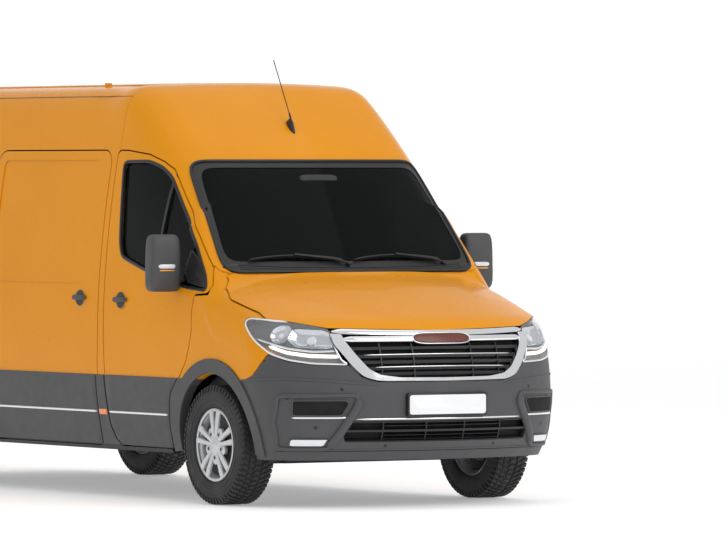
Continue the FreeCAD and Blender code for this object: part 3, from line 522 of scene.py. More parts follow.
def cloth_finish():
    """Dark woven cloth: two crossed thread waves with slight colour change between threads."""
    material, tree, shader = nodes_of("seat_weave")
    coords = tree.nodes.new("ShaderNodeTexCoord").outputs["Object"]
    waves = []
    for direction in ("X", "Z"):
        node = tree.nodes.new("ShaderNodeTexWave")
        node.bands_direction = direction
        node.inputs["Scale"].default_value = 95.0
        node.inputs["Distortion"].default_value = 0.6
        link(tree, coords, node.inputs["Vector"])
        waves.append(node.outputs["Fac"])
    weave = math_node(tree, "MULTIPLY", waves[0], waves[1])
    link(
        tree, mixed(tree, weave, rgba(0.030, 0.030, 0.033), rgba(0.075, 0.075, 0.08)),
        shader.inputs["Base Color"]
    )
    shader.inputs["Roughness"].default_value = 0.92
    shader.inputs["Sheen Weight"].default_value = 0.25
    bumped(tree, shader, weave, 0.4, 0.0008)
    FINISHES["seat_weave"] = {"material": material, "slot": "seat_cloth"}


def rubber_finish():
    """Tyre rubber: dark, dusty where the noise is high, with a fine grain."""
    material, tree, shader = nodes_of("tread_rubber")
    dust = ranged(tree, noise(tree, 7.0, 6.0), 0, 1, 0.45, 0.75)
    link(
        tree, mixed(tree, dust, rgba(0.024, 0.024, 0.025), rgba(0.048, 0.046, 0.044)),
        shader.inputs["Base Color"]
    )
    link(tree, ranged(tree, noise(tree, 40.0, 3.0), 0.62, 0.8), shader.inputs["Roughness"])
    bumped(tree, shader, noise(tree, 600.0, 2.0), 0.3, 0.0004)
    FINISHES["tread_rubber"] = {"material": material, "slot": "tyre_rubber"}


def glow_finish(name, slot, colour, strength):
    """A lit lamp strip: faintly ribbed and bright."""
    material, tree, shader = nodes_of(name)
    rib = ranged(tree, noise(tree, 220.0, 1.0), 0.85, 1.0)
    link(tree, mixed(tree, rib, rgba(*colour, 0.8), rgba(*colour)), shader.inputs["Base Color"])
    shader.inputs["Emission Color"].default_value = rgba(*colour)
    shader.inputs["Emission Strength"].default_value = strength
    shader.inputs["Roughness"].default_value = 0.25
    FINISHES[name] = {"material": material, "slot": slot}


def make_finishes():
    paint_finish()
    cloth_finish()
    rubber_finish()
    finish(
        "grained_cladding", "grey_plastic", (0.062, 0.062, 0.066), 0.52, grain=(1500, 0.0003),
        cloud=(2.0, 0.06)
    )
    finish("satin_black", "black_plastic", (0.012, 0.012, 0.013), 0.38, grain=(1200, 0.0002))
    # Deep black: the fog lamp blanks' own colour, and painted shade in the grille backings, the bumper seam
    # and the fuel flap gap.
    finish("deep_black_and_painted_shade", "black_plastic", (0.003, 0.003, 0.003), 0.85)
    finish(
        "chrome_plate", "chrome_trim", (0.86, 0.87, 0.89), 0.09, metal=1.0, smear=0.03, cloud=(6.0, 0.02)
    )
    finish(
        "mirror_plate", "chrome_trim", (0.62, 0.65, 0.68), 0.04, metal=1.0, smear=0.02, cloud=(6.0, 0.02)
    )
    finish("lamp_bowl", "chrome_trim", (0.75, 0.77, 0.80), 0.16, metal=1.0, grain=(420, 0.0012))
    finish("lamp_grey", "grey_plastic", (0.10, 0.10, 0.105), 0.35)
    finish("hub_silver", "wheel_silver", (0.60, 0.61, 0.63), 0.30, metal=0.55, coat=0.5, smear=0.05)
    finish("rim_steel", "wheel_silver", (0.10, 0.10, 0.105), 0.5, metal=0.4)
    finish("badge_brown", "body_paint", (0.13, 0.022, 0.008), 0.30, coat=0.2)
    finish("marker_orange", "body_paint", (0.85, 0.21, 0.02), 0.2, coat=1.0)
    finish("indicator_amber", "red_lens", (0.80, 0.32, 0.03), 0.15, coat=1.0, grain=(150, 0.0006))
    finish("lamp_red", "red_lens", (0.42, 0.006, 0.006), 0.12, coat=1.0, grain=(150, 0.0006))
    finish("lamp_white", "lamp_glass", (0.78, 0.79, 0.80), 0.12, coat=1.0, grain=(150, 0.0006))
    finish("plate_white", "body_paint", (0.84, 0.85, 0.86), 0.35, coat=0.3, cloud=(4.0, 0.02))
    finish(
        "underbody_coat", "chassis_steel", (0.030, 0.030, 0.032), 0.62, grain=(160, 0.002), cloud=(4.0, 0.2)
    )
    finish(
        "raw_casting", "cast_metal", (0.17, 0.17, 0.175), 0.6, metal=0.6, grain=(300, 0.001),
        cloud=(5.0, 0.2)
    )
    finish("pipe_steel", "exhaust_steel", (0.33, 0.31, 0.28), 0.42, metal=0.9, cloud=(8.0, 0.2))
    finish("cab_trim", "interior_plastic", (0.030, 0.030, 0.033), 0.6, grain=(1300, 0.0004))
    finish("cab_trim_light", "interior_plastic", (0.095, 0.095, 0.10), 0.6, grain=(1300, 0.0004))
    finish(
        "load_floor_coat", "floor_coating", (0.20, 0.20, 0.21), 0.55, grain=(90, 0.0012), cloud=(3.0, 0.12)
    )
    finish("primer_grey", "floor_coating", (0.30, 0.30, 0.31), 0.5, grain=(700, 0.0003))
    # Windscreen and side windows: the near-black, mostly opaque tint is painted shade of the dark cab seen
    # through the glass.
    glass_finish("screen_glass_painted_shade", "window_glass", (0.004, 0.005, 0.005), 0.84, shine=0.06)
    glass_finish("side_glass_painted_shade", "window_glass", (0.006, 0.007, 0.007), 0.78, shine=0.10)
    glass_finish("lens_clear", "lamp_glass", (0.70, 0.72, 0.74), 0.10, 0.01)
    glow_finish("day_light", "lamp_glass", (1.0, 0.90, 0.78), 0.9)


CAD_FINISH = {
    "body_paint": "orange_enamel",
    "grey_plastic": "grained_cladding",
    "black_plastic": "satin_black",
    "chrome_trim": "chrome_plate",
    "window_glass": "side_glass_painted_shade",
    "lamp_glass": "lens_clear",
    "red_lens": "lamp_red",
    "tyre_rubber": "tread_rubber",
    "wheel_silver": "hub_silver",
    "chassis_steel": "underbody_coat",
    "cast_metal": "raw_casting",
    "exhaust_steel": "pipe_steel",
    "seat_cloth": "seat_weave",
    "interior_plastic": "cab_trim",
    "floor_coating": "load_floor_coat",
}


def dress_frame():
    """Every CAD node takes the finish of its record slot."""
    special = {"windscreen": "screen_glass_painted_shade", "bulkhead": "cab_trim"}
    for row in frame["record"]["subparts"]:
        obj = frame["nodes"][row["node"]]
        name = special.get(row["node"], CAD_FINISH[row["material_slot"]])
        obj.data.materials.clear()
        obj.data.materials.append(FINISHES[name]["material"])


# ---- nose: lamps, grille, bumper -----------------------------------------------------------------
WRAP = 900.0


def on_wrap(u, z, out=0.0):
    """Skin point at an arc length round the nose and a height."""
    turn_u = np.asarray(u) / WRAP
    away = stack(np.sin(turn_u), -np.cos(turn_u), 0 * turn_u)
    return land(stack(0, NOSE_CENTRE, z) + away * 1300, -away, out)


def wrapped(points):
    """(x, distance behind the front axle, z) points as (arc length round the nose, z)."""
    return [(WRAP * math.atan2(x, -300 - y), z) for x, y, z in points]


LAMP_EDGE = [(977, -336, 1072), (959, -356, 1095), (923, -476, 1088), (837, -589, 1075), (773, -651, 1064)]
LAMP_EDGE += [(661, -744, 1035), (656, -758, 1021), (659, -807, 939), (629, -846, 853), (593, -864, 830)]
LAMP_EDGE += [(781, -774, 836), (892, -680, 856), (954, -582, 892), (988, -471, 962), (985, -367, 1044)]


def dish(loop, centre, place, rows):
    """Closed shape over an outline: each row is (share of the way out to the outline, height)."""
    loop, centre = np.asarray(loop, float), np.asarray(centre, float)
    r = np.array([row[0] for row in rows])
    out = np.array([row[1] for row in rows])[:, None] * np.ones(len(loop))
    flat = centre + r[:, None, None] * (loop - centre)
    return sheet(place(flat[..., 0], flat[..., 1], out), False, True)


def circle(u, v, radius, n=40, squash=1.0):
    a = np.arange(n) * 2 * math.pi / n
    return np.stack([u + radius * np.cos(a), v + radius * squash * np.sin(a)], -1)


def headlamps():
    edge = run(wrapped(LAMP_EDGE), 110, True, 2)
    centre = edge.mean(0)
    housing = [
        (0, -49), (1.0, -49), (1.0, -1), (0.985, -1.5), (0.955, -30), (0.90, -40), (0.5, -44), (0, -44)
    ]
    piece("headlamp_housings", both([dish(edge, centre, on_wrap, housing)]), FINISHES["lamp_grey"])
    lens = [(0, -4), (0.99, -4), (0.995, 0), (0.97, 2.0), (0.93, 3.0), (0.6, 3.0), (0.3, 3.0), (0, 3.0)]
    piece(
        "headlamp_lenses", both(
            [dish(edge, centre, on_wrap, lens)]
        ), FINISHES["lens_clear"], replaces=["headlamps"]
    )
    rim = run(wrapped(LAMP_EDGE[7:] + LAMP_EDGE[:4]), 90, False, 2)
    rim = centre + (rim - centre) * 0.985
    path = on_wrap(rim[:, 0], rim[:, 1], 1.0)
    piece("headlamp_bright_edges", both([strip(path, bead(11, 5), taper=4)]), FINISHES["chrome_plate"])

    eye_u, eye_z = wrapped([(900, -605, 1008)])[0]
    bowl = [
        (0, -46), (1.0, -46), (1.0, -12), (0.97, -9), (0.93, -11), (0.8, -26), (0.55, -37), (0.3, -41),
        (0, -42)
    ]
    eye = dish(circle(eye_u, eye_z, 56), (eye_u, eye_z), on_wrap, bowl)
    bulb = dish(
        circle(eye_u, eye_z, 19), (eye_u, eye_z), on_wrap,
        [(0, -42), (1, -42), (0.9, -28), (0.6, -22), (0, -19)]
    )
    box_edge = run(wrapped([(
        868, -650, 1042
    ), (700, -744, 1034), (655, -790, 1004), (664, -812, 935), (700, -790, 925),
                            (850, -700, 932), (880, -640, 980)]), 64, True, 3)
    middle_box = box_edge.mean(0)
    trough = [
        (0, -47), (1.0, -47), (1.0, -10), (0.965, -8), (0.90, -14), (0.72, -31), (0.45, -38), (0.2, -40),
        (0, -40)
    ]
    reflector = dish(box_edge, middle_box, on_wrap, trough)
    piece("headlamp_reflectors", both([eye, reflector]), FINISHES["mirror_plate"])
    sockets = [(0, -41), (1, -41), (0.95, -30), (0.5, -27), (0, -26)]
    lamp = dish(circle(middle_box[0], middle_box[1], 26), middle_box, on_wrap, sockets)
    piece("headlamp_bulbs", both([bulb, lamp]), FINISHES["lamp_white"])
    strip_line = run(
        wrapped([(955, -560, 938), (892, -660, 902), (781, -754, 884), (640, -842, 880)]), 40, False, 3
    )
    path = on_wrap(strip_line[:, 0], strip_line[:, 1], -12)
    piece("day_running_strips", both([strip(path, bead(20, 9, 8), taper=3)]), FINISHES["day_light"])
    fin = run(
        wrapped([(975, -470, 978), (900, -668, 925), (781, -764, 908), (662, -822, 912)]), 40, False, 3
    )
    path = on_wrap(fin[:, 0], fin[:, 1], -10)
    corner = run(
        wrapped([(880, -692, 842), (922, -640, 866), (955, -580, 890), (966, -548, 880), (962, -556, 842)]),
        50, True
    )
    filler = pad(corner, corner.mean(0), lambda a, b, h: on_wrap(a, b, h - 12), 12, edge=3)
    piece("headlamp_corner_fillers", both([filler]), FINISHES["grained_cladding"])
    piece("headlamp_fins", both([strip(path, bead(12, 7, 24), taper=3)]), FINISHES["lamp_bowl"])


OUTER_V = [(662, 1004), (659, 944), (582, 829), (520, 764), (475, 747), (424, 736), (0, 733)]
INNER_V = [(606, 1000), (592, 955), (543, 878), (483, 806), (421, 771), (302, 755), (0, 752)]


def across(half_line, count, soften=2):
    """A half outline from the right edge to the middle, mirrored to run the whole way across."""
    full = list(half_line) + [(-x, z) for x, z in reversed(half_line[:-1])]
    return run(full, count, False, soften)


def front_strip(z, half, out, profile, count=48, rise=0.0, taper=0):
    """A moulding across the front at a height, bowed upwards by rise at its middle."""
    x = np.linspace(-half, half, count)
    return strip(on_front(x, z + rise * (1 - (x / half) ** 2), out), profile, taper=taper)


def grille():
    v_frame = panel(across(OUTER_V, 120), across(INNER_V, 120), on_front, 12, sunk=20, rows=7)
    bars = [
        front_strip(1020, 650, 1, bead(38, 9), rise=-12, taper=3),
        front_strip(974, 612, 2, bead(36, 15), taper=3)
    ]
    piece("grille_chrome_frame", [v_frame] + bars, FINISHES["chrome_plate"], replaces=["grille"])
    # A near-black sheet behind the grille: painted shade of the dark space behind its openings.
    backing = panel(
        across(OUTER_V, 90), across([(655, 1024), (0, 1020)], 90, 0), on_front, -40, sunk=48, rows=12
    )
    piece("grille_painted_shade_backing", [backing], FINISHES["deep_black_and_painted_shade"])
    inner = np.array(INNER_V[::-1])
    bright, dark = [], []
    for z in (928, 881, 846, 810, 778):
        half = float(np.interp(z, inner[:, 1], inner[:, 0])) + 12
        dark.append(front_strip(z, half, -22, [(-9, -14), (9, -14), (11, 6), (-3, 16), (-8, 12)], rise=4))
        if z in (881, 810):
            bright.append(front_strip(z + 6, half - 60, -5, bead(6, 3, 4), rise=4, taper=3))
    for x in (-400, -200, 200, 400):
        low = float(np.interp(abs(x), inner[:, 0], inner[:, 1]))
        z = np.linspace(low - 8, 955, 16)
        dark.append(strip(on_front(x + 0 * z, z, -16), [(-4, -14), (4, -14), (4, 8), (-4, 8)]))
    piece("grille_slats", dark, FINISHES["satin_black"])
    piece("grille_bright_lines", bright, FINISHES["chrome_plate"])


def badge():
    """A blank oblong badge with a bright rim: a circle stretched to a flat-sided oval."""
    pill = circle(0, 0, 1, 64)
    pill = np.stack([np.sign(pill[:, 0]) * np.abs(pill[:, 0]) ** 0.35 * 190, pill[:, 1] * 24 + BADGE_Z], -1)
    piece(
        "badge_blank", [pad(pill, (0, BADGE_Z), lambda a, b, h: on_front(a, b, h + 14), 7, edge=9)],
        FINISHES["badge_brown"]
    )
    rim = np.stack([pill[:, 0] * 1.025, (pill[:, 1] - BADGE_Z) * 1.2 + BADGE_Z], -1)
    piece(
        "badge_rim", [strip(on_front(rim[:, 0], rim[:, 1], 14), bead(7, 5, 10), closed=True)],
        FINISHES["chrome_plate"]
    )


FOG_FRAME = [(944, 500), (938, 652), (560, 655), (538, 612), (690, 352), (700, 346), (915, 346)]
FOG_MOUTH = [(884, 626), (615, 626), (600, 612), (640, 538), (884, 538)]
FOG_LAMP = [(880, 404), (700, 404), (716, 362), (880, 362)]


def fog_corners():
    """Corner frames of the bumper with a blind opening, a bright strip and a fog lamp."""
    mouldings, mouths, lamps, bright = [], [], [], []
    loop = run(FOG_FRAME, 120, True, 3)
    mouldings.append(strip(on_front(loop[:, 0], loop[:, 1]), bead(26, 12), closed=True))
    bar = run([(560, 640), (548, 604), (620, 480), (694, 352)], 30, False, 1)
    mouldings.append(strip(on_front(bar[:, 0], bar[:, 1]), bead(52, 22), taper=3))
    mouth = run(FOG_MOUTH, 70, True, 2)
    mouths.append(pad(mouth, mouth.mean(0), on_front, 1.5, edge=2))
    mouldings.append(strip(on_front(mouth[:, 0], mouth[:, 1]), bead(10, 8), closed=True))
    x = np.linspace(612, 884, 20)
    bright.append(strip(on_front(x, 527 + 0 * x, 3), bead(13, 6), taper=2))
    fog = run(FOG_LAMP, 50, True, 1)
    lamps.append(pad(fog, fog.mean(0), on_front, 6, edge=8))
    mouldings.append(strip(on_front(fog[:, 0], fog[:, 1]), bead(9, 9), closed=True))
    piece("fog_frames", both(mouldings), FINISHES["grained_cladding"])
    piece("fog_openings", both(mouths), FINISHES["deep_black_and_painted_shade"])
    piece("fog_lamps", both(lamps), FINISHES["lamp_bowl"])
    bright = both(bright) + [front_strip(518, 560, 2, bead(11, 6), taper=3)]
    piece("bumper_bright_strips", bright, FINISHES["chrome_plate"])


def bumper_lines():
    """The shoulder line, the lower lip, and a black bead along the lip's seam, painted shade of the gap
    there.
    """
    lips = []
    shoulder = run(
        [
            (1000, -210, 722), (995, -483, 744), (928, -651, 753), (753, -805, 742), (540, -897, 724),
            (430, -930, 716)
        ],
        60, False, 3
    )
    path = on_nose(shoulder[:, 0], FRONT + shoulder[:, 1], shoulder[:, 2], 0)
    lips += both([strip(path, bead(16, 5), taper=4)])
    x = np.linspace(-925, 925, 110)
    lips.append(strip(on_front(x, 340 + 0 * x, -1), bead(10, 5), taper=4))
    piece("bumper_lips", lips, FINISHES["grained_cladding"])
    # A thin black bead on the seam below the lip: painted shade of the gap between the parts.
    x = np.linspace(-918, 918, 110)
    piece("bumper_seam_painted_shade", [strip(on_front(x, 332 + 0 * x, 0), bead(4, 1.2, 1))], FINISHES["deep_black_and_painted_shade"])


def lower_grille():
    # A near-black sheet behind the lower grille: painted shade of the dark space behind its openings.
    backing = panel(
        run([(-655, 372), (655, 372)], 60), run([(-655, 520), (655, 520)], 60), on_front, -38, sunk=47,
        rows=6
    )
    piece("lower_grille_painted_shade_backing", [backing], FINISHES["deep_black_and_painted_shade"])
    bars = [front_strip(z, h, -10, [(-w, -20), (w, -20), (w, 7), (-w + 3, 9)]) for z, h, w in
            ((450, 640, 8), (480, 400, 3), (425, 400, 3), (402, 400, 3), (500, 630, 4), (388, 620, 6))]
    for x in (-400, -130, 130, 400):
        z = np.linspace(386, 514, 8)
        bars.append(strip(on_front(x + 0 * z, z, -14), [(-4, -14), (4, -14), (4, 6), (-4, 6)]))
    piece("lower_grille_bars", bars, FINISHES["satin_black"])


def front_plate():
    """The blank number plate in its frame, and the parking sensors."""
    half, low, high = PLATE[0] / 2, PLATE_Z - PLATE[1] / 2, PLATE_Z + PLATE[1] / 2
    face_y = 1000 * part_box("front_bumper")[0].y
    plate_edge = run([(-half, low), (half, low), (half, high), (-half, high)], 96, True, 1)

    def ahead(x, z, out):
        return stack(x, face_y - np.asarray(out), z)

    frame_edge = (plate_edge - (0, PLATE_Z)) * (1.045, 1.22) + (0, PLATE_Z)
    piece(
        "plate_frame", [slab(frame_edge, lambda p, d: ahead(p[:, 0], p[:, 1], d), -60, 1.5)],
        FINISHES["satin_black"]
    )
    piece(
        "plate_blank", [slab(plate_edge, lambda p, d: ahead(p[:, 0], p[:, 1], d), -2, 3.5, 1)],
        FINISHES["plate_white"]
    )
    dots = []
    for x, z in ((773, 469), (905, 640), (370, 362), (640, 690)):
        ring = circle(x, z, 10, 20)
        dots.append(pad(ring, (x, z), on_front, 2.0, edge=3))
    piece("parking_sensors", both(dots), FINISHES["satin_black"])


# ---- windscreen, cowl and wipers -----------------------------------------------------------------
def screen_edge(inset, foot=0.0, count=150):
    """The windscreen's outline in the front view, moved inwards."""
    top, low = CAB_TOP_Z - 3 - inset, 1356 + inset + foot
    loop = [(-781 + inset, top), (781 - inset, top), (868 - inset, low), (-868 + inset, low)]
    return run(loop, count, True, 7)


def screen_details():
    edge = screen_edge(0)
    seal = strip(on_front(edge[:, 0], edge[:, 1], 2), bead(17, 5, 9), closed=True)
    piece("windscreen_seal", [seal], FINISHES["satin_black"])
    outer, inner = screen_edge(4, 0), screen_edge(38, 22)
    grid = np.stack([outer, outer + (inner - outer) * 0.5, inner, inner, outer])
    depth = np.array([-3.2, -3.2, -3.2, -10.5, -10.5])[:, None]
    band = on_front(grid[..., 0], grid[..., 1], depth * np.ones(len(outer)))
    piece("windscreen_border", [sheet(band, True, True)], FINISHES["satin_black"])
    t = np.linspace(-1, 1, 70)
    cowl_y = FRONT - 45 + 128 * t**2
    ledge = strip(on_top(868 * t, cowl_y + 20, -5), bead(46, 8), taper=3)
    slots = [strip(on_top(868 * t[4:-4], cowl_y[4:-4] + d, 2), bead(3, 3, 1)) for d in (10, 20, 30)]
    piece("cowl_panel", [ledge] + slots, FINISHES["satin_black"])


def wipers():
    parts = []
    for pivot, tip in ((640, -20), (-60, -700)):
        foot = on_front(pivot, 1398, 8)
        x = np.linspace(pivot - 30, tip, 30)
        z = 1414 + 26 * np.sin(np.linspace(0, math.pi, 30)) ** 0.8
        blade = on_front(x, z, 10)
        parts.append(strip(blade, [(-7, -5), (7, -5), (4, 9), (-4, 9)], taper=2))
        arm = run(
            [tuple(foot), tuple(on_front(pivot - 90, 1416, 20)), tuple(blade[15] + (0, -8, 10))], 20, False,
            3
        )
        parts.append(tube(arm, 7))
        parts.append(block(foot, (15, 13, 12), 0.5, 10))
    piece("wipers", parts, FINISHES["satin_black"])


def cab_mirror_and_visors():
    parts = [block((0, FRONT + 448, 1885), (130, 14, 38), 0.4, 14)]
    parts.append(tube(run([(0, FRONT + 452, 1900), (0, FRONT + 520, 1965)], 6), 9))
    piece("interior_mirror", parts, FINISHES["cab_trim"])
    for name, side in (("right", -1), ("left", 1)):
        centre = (side * 380, FRONT + 560, 1925)
        visor = moved(block(centre, (230, 20, 70), 0.3, 16), turn("X", -30), about=centre)
        piece(f"sun_visor_{name}", [visor], FINISHES["cab_trim_light"])


# ---- doors and sides -----------------------------------------------------------------------------
DOOR_WINDOW = [(1185, -8), (1121, 1516), (1090, 1437), (831, 1366), (349, 1265), (100, 1245), (145, 1330)]
DOOR_WINDOW += [(300, -500), (480, -315), (690, -98), (790, -40), (918, -5)]
DOOR_FRONT_EDGE = [(522, 316), (526, 456), (500, 581), (477, 646), (390, 729)]
DOOR_REAR_EDGE = [(1125, 316), (1177, 353), (1222, 436), (1236, 567), (1246, 729)]


def side_place(side):
    return lambda y, z, out=0.0: on_side(y, z, out, side)


def edge_y(points, z):
    points = np.asarray(points, float)
    return FRONT + np.interp(z, points[:, 1], points[:, 0])


def arch_y(axle, z, way, radius=500):
    return axle + way * np.sqrt(np.clip(radius**2 - (z - TYRE_R) ** 2, 0, None))


def upright_panel(name, left, right, side, body, out=6.5, low=318):
    """A cladding plate between two upright edges given as functions of height."""
    z = np.linspace(low, CLAD_Z - 2, 34)
    a, b = np.stack([left(z), z], -1), np.stack([right(z), z], -1)
    columns = 14 if float(np.abs(b - a).max()) < 900 else 26
    return piece(
        name, [panel(a, b, side_place(side), out, rows=columns)], FINISHES["grained_cladding"], body
    )


def cladding(side, name):
    door = f"front_door_{name}_body"
    front, rear = (lambda z: edge_y(DOOR_FRONT_EDGE, z)), (lambda z: edge_y(DOOR_REAR_EDGE, z))
    upright_panel(
        f"wing_cladding_{name}", lambda z: arch_y(FRONT, z, 1, 497), lambda z: front(z) - 11, side, "root",
        low=345
    )
    upright_panel(f"door_cladding_{name}", lambda z: front(z) + 3, lambda z: rear(z) - 3, side, door)
    if side < 0:
        upright_panel(
            "pillar_cladding_right", lambda z: rear(z) + 11, lambda z: SLIDE[0] + 11 + 0 * z, side, "root"
        )
        upright_panel(
            "sliding_door_cladding", lambda z: SLIDE[0] + 25 + 0 * z, lambda z: SLIDE[1] - 3 + 0 * z, side,
            "root"
        )
    start = (lambda z: SLIDE[1] + 11 + 0 * z) if side < 0 else (lambda z: rear(z) + 11)
    upright_panel(f"side_cladding_{name}", start, lambda z: arch_y(REAR, z, -1, 497), side, "root")
    upright_panel(
        f"quarter_cladding_{name}", lambda z: arch_y(REAR, z, 1, 497), lambda z: TAIL_Y - 62 + 0 * z, side,
        "root"
    )
    for end, axle in (("front", FRONT), ("rear", REAR)):
        a = np.radians(np.linspace(-6, 186, 100))
        rings = [np.stack([axle + r * np.cos(a), TYRE_R + r * np.sin(a)], -1) for r in (ARCH_R + 2, 503)]
        piece(f"{end}_arch_{name}", [panel(rings[0], rings[1], side_place(side), 10, sunk=14, rows=9)],
              FINISHES["grained_cladding"])


def bright_strips(side, name):
    place = side_place(side)
    rear = float(edge_y(DOOR_REAR_EDGE, BRIGHT_STRIP_Z))
    spans = [(f"door_bright_strip_{name}", FRONT + 532, rear - 8, f"front_door_{name}_body")]
    after = SLIDE[1] + 14
    if side < 0:
        spans.append(("sliding_door_bright_strip", SLIDE[0] + 30, SLIDE[1] - 8, "root"))
    else:
        after = rear + 90
    spans.append((f"side_bright_strip_{name}", after, float(arch_y(REAR, BRIGHT_STRIP_Z, -1, 506)), "root"))
    spans.append(
        (f"quarter_bright_strip_{name}", float(arch_y(REAR, BRIGHT_STRIP_Z, 1, 506)), TAIL_Y - 80, "root")
    )
    for label, y0, y1, body in spans:
        y = np.linspace(y0, y1, 40)
        piece(
            label, [strip(place(y, BRIGHT_STRIP_Z + 0 * y, 6.5), bead(14, 4.5), taper=2)],
            FINISHES["chrome_plate"], body
        )
    loop = run([(rear + 16, 494), (SLIDE[0] + 4, 494), (SLIDE[0] + 4, 528), (rear + 16, 528)], 40, True, 1)
    piece(f"side_marker_{name}", [pad(loop, loop.mean(0), lambda a, b, h: place(a, b, h + 6), 6, edge=5)],
          FINISHES["marker_orange"])


def handle(label, y, z, side, body):
    place = side_place(side)
    ring = circle(y, z, 56, 48, 0.92)
    cup = pad(ring, (y, z), place, 2.0, edge=4)
    piece(f"{label}_cup", [cup], FINISHES["satin_black"], body)
    rim = strip(place(ring[:, 0], ring[:, 1]), bead(8, 4), closed=True)
    piece(f"{label}_rim", [rim], FINISHES["orange_enamel"], body)
    t = np.linspace(-1, 1, 24)
    grip = strip(
        place(y + 78 * t, z + 2 + 0 * t, 7 + 9 * (1 - t**4)),
        [(-15, -6), (15, -6), (15, 5), (8, 11), (-8, 11), (-15, 5)], taper=4
    )
    lock = pad(circle(y + 30, z - 34, 7, 16), (y + 30, z - 34), place, 5)
    piece(f"{label}_grip", [grip, lock], FINISHES["grained_cladding"], body)


def door_details(side, name):
    body, place = f"front_door_{name}_body", side_place(side)
    window = [(FRONT + y, z if z > 900 else CAB_TOP_Z + z) for y, z in DOOR_WINDOW]
    loop = run(window, 150, True, 4)
    seal = strip(place(loop[:, 0], loop[:, 1], -1), bead(20, 6, 11), closed=True)
    z = np.linspace(1306, CAB_TOP_Z - 50, 20)
    divider = strip(
        place(FRONT + 690 - 0.05 * (z - 1306), z, -10), [(-11, -6), (11, -6), (11, 8), (-11, 8)]
    )
    piece(f"door_window_seal_{name}", [seal, divider], FINISHES["satin_black"], body)
    sail = [(118, 1262), (330, 1292), (372, 1360), (340, 1490), (250, 1440), (140, 1330)]
    sail = run([(FRONT + y, z) for y, z in sail], 60, True, 2)
    base = pad(sail, sail.mean(0), lambda a, b, h: place(a, b, h - 12), 14, edge=8)
    piece(f"mirror_base_{name}", [base], FINISHES["satin_black"], body)
    handle(f"door_handle_{name}", FRONT + 1063, 1178, side, body)
    foot = run([(FRONT + 560, 420), (FRONT + 1200, 420)], 20)
    top = run([(FRONT + 300, 1215), (FRONT + 1140, 1380)], 20)
    inner_card = panel(foot, top, lambda a, b, h: place(a, b, -54 - h), 10, rows=16)
    rest = block((side * 905, FRONT + 850, 1010), (24, 220, 26), 0.4, 14)
    piece(f"door_card_{name}", [inner_card, rest], FINISHES["cab_trim_light"], body)


def mirrors(side, name):
    body = f"front_door_{name}_body"
    low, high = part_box(f"mirror_{name}")
    centre = np.array([1000 * (low[i] + high[i]) / 2 for i in range(3)])
    head_centre = np.array([side * (HALF_W + 88.0), centre[1], centre[2]])
    u = np.linspace(-math.pi / 2, math.pi / 2, 34)[:, None]
    w = np.linspace(0, 2 * math.pi, 56, endpoint=False)[None] + math.pi / 56

    def power(f, e):
        return np.sign(f) * np.abs(f) ** e

    x = power(np.cos(u), 0.28) * power(np.cos(w), 0.45)
    y = power(np.cos(u), 0.28) * power(np.sin(w), 0.45)
    z = power(np.sin(u), 0.30) + 0 * w
    bulge = np.where(y < 0, 1.0 - 0.18 * z**2, 0.92)
    grid = np.stack([side * x * (1 - 0.04 * z) * 101, y * bulge * 60, z * 168], -1) + head_centre
    arm = strip(run(
        [(side * (HALF_W - 45), centre[1] + 8, 1306), (side * (HALF_W + 40), centre[1], 1312)], 8
    ),
                circle(0, 0, 22, 20) * (1.5, 1.0), (0, 0, 1))
    low_arm = block((side * (HALF_W + 62), centre[1], 1300), (70, 42, 26), 0.5, 14)
    piece(f"mirror_head_{name}", [
        sheet(grid, False, True), arm, low_arm
    ], FINISHES["grained_cladding"], body,
          replaces=[f"mirror_{name}"])
    x = np.linspace(-60, 94, 24)
    face = np.stack([head_centre[0] + side * x, centre[1] - 60 + 0.0028 * x**2, 1386 + 0 * x], -1)
    piece(
        f"mirror_indicator_{name}", [strip(face, bead(26, 7, 10), (0, -1, 0), taper=4)],
        FINISHES["lamp_white"], body
    )
    amber_line = np.stack(
        [head_centre[0] + side * x * 0.92, centre[1] - 61 + 0.0028 * x**2, 1362 + 0 * x], -1
    )
    piece(
        f"mirror_amber_{name}", [strip(amber_line, bead(9, 6, 10), (0, -1, 0), taper=4)],
        FINISHES["indicator_amber"], body
    )

    def behind(a, b, h):
        return stack(head_centre[0] + np.asarray(a), centre[1] + 50 + np.asarray(h), np.asarray(b))

    big = run([(-66, 1372), (66, 1372), (66, 1548), (-66, 1548)], 60, True, 4)
    small = run([(-66, 1256), (66, 1256), (66, 1352), (-66, 1352)], 60, True, 4)
    glasses = [pad(g, g.mean(0), behind, 4, edge=6) for g in (big, small)]
    piece(f"mirror_glass_{name}", glasses, FINISHES["mirror_plate"], body)


def side_details():
    for side, name in ((-1, "right"), (1, "left")):
        cladding(side, name)
        bright_strips(side, name)
        door_details(side, name)
        mirrors(side, name)
    handle("sliding_door_handle", SLIDE[0] + 217, 1185, -1, "root")
    y = np.linspace(SLIDE[1] + 20, TAIL_Y - 260, 40)
    rail = strip(
        on_side(y, 1225 + 0 * y, 0),
        [(-17, -3), (17, -3), (17, 6), (11, 7), (9, 2), (-9, 2), (-11, 7), (-17, 6)]
    )
    piece("sliding_door_rail", [rail], FINISHES["satin_black"])
    flap = run(
        [(DOOR_REAR + 34, 800), (DOOR_REAR + 214, 800), (DOOR_REAR + 214, 980), (DOOR_REAR + 34, 980)], 60,
        True, 4
    )
    left = side_place(1)
    piece("fuel_flap", [pad(flap, flap.mean(0), left, 2.5, edge=4)], FINISHES["orange_enamel"])
    # A thin black bead round the flap: painted shade of the gap at its edge.
    piece(
        "fuel_flap_gap_painted_shade", [strip(left(flap[:, 0], flap[:, 1]), bead(5, 0.8, 1), closed=True)],
        FINISHES["deep_black_and_painted_shade"]
    )


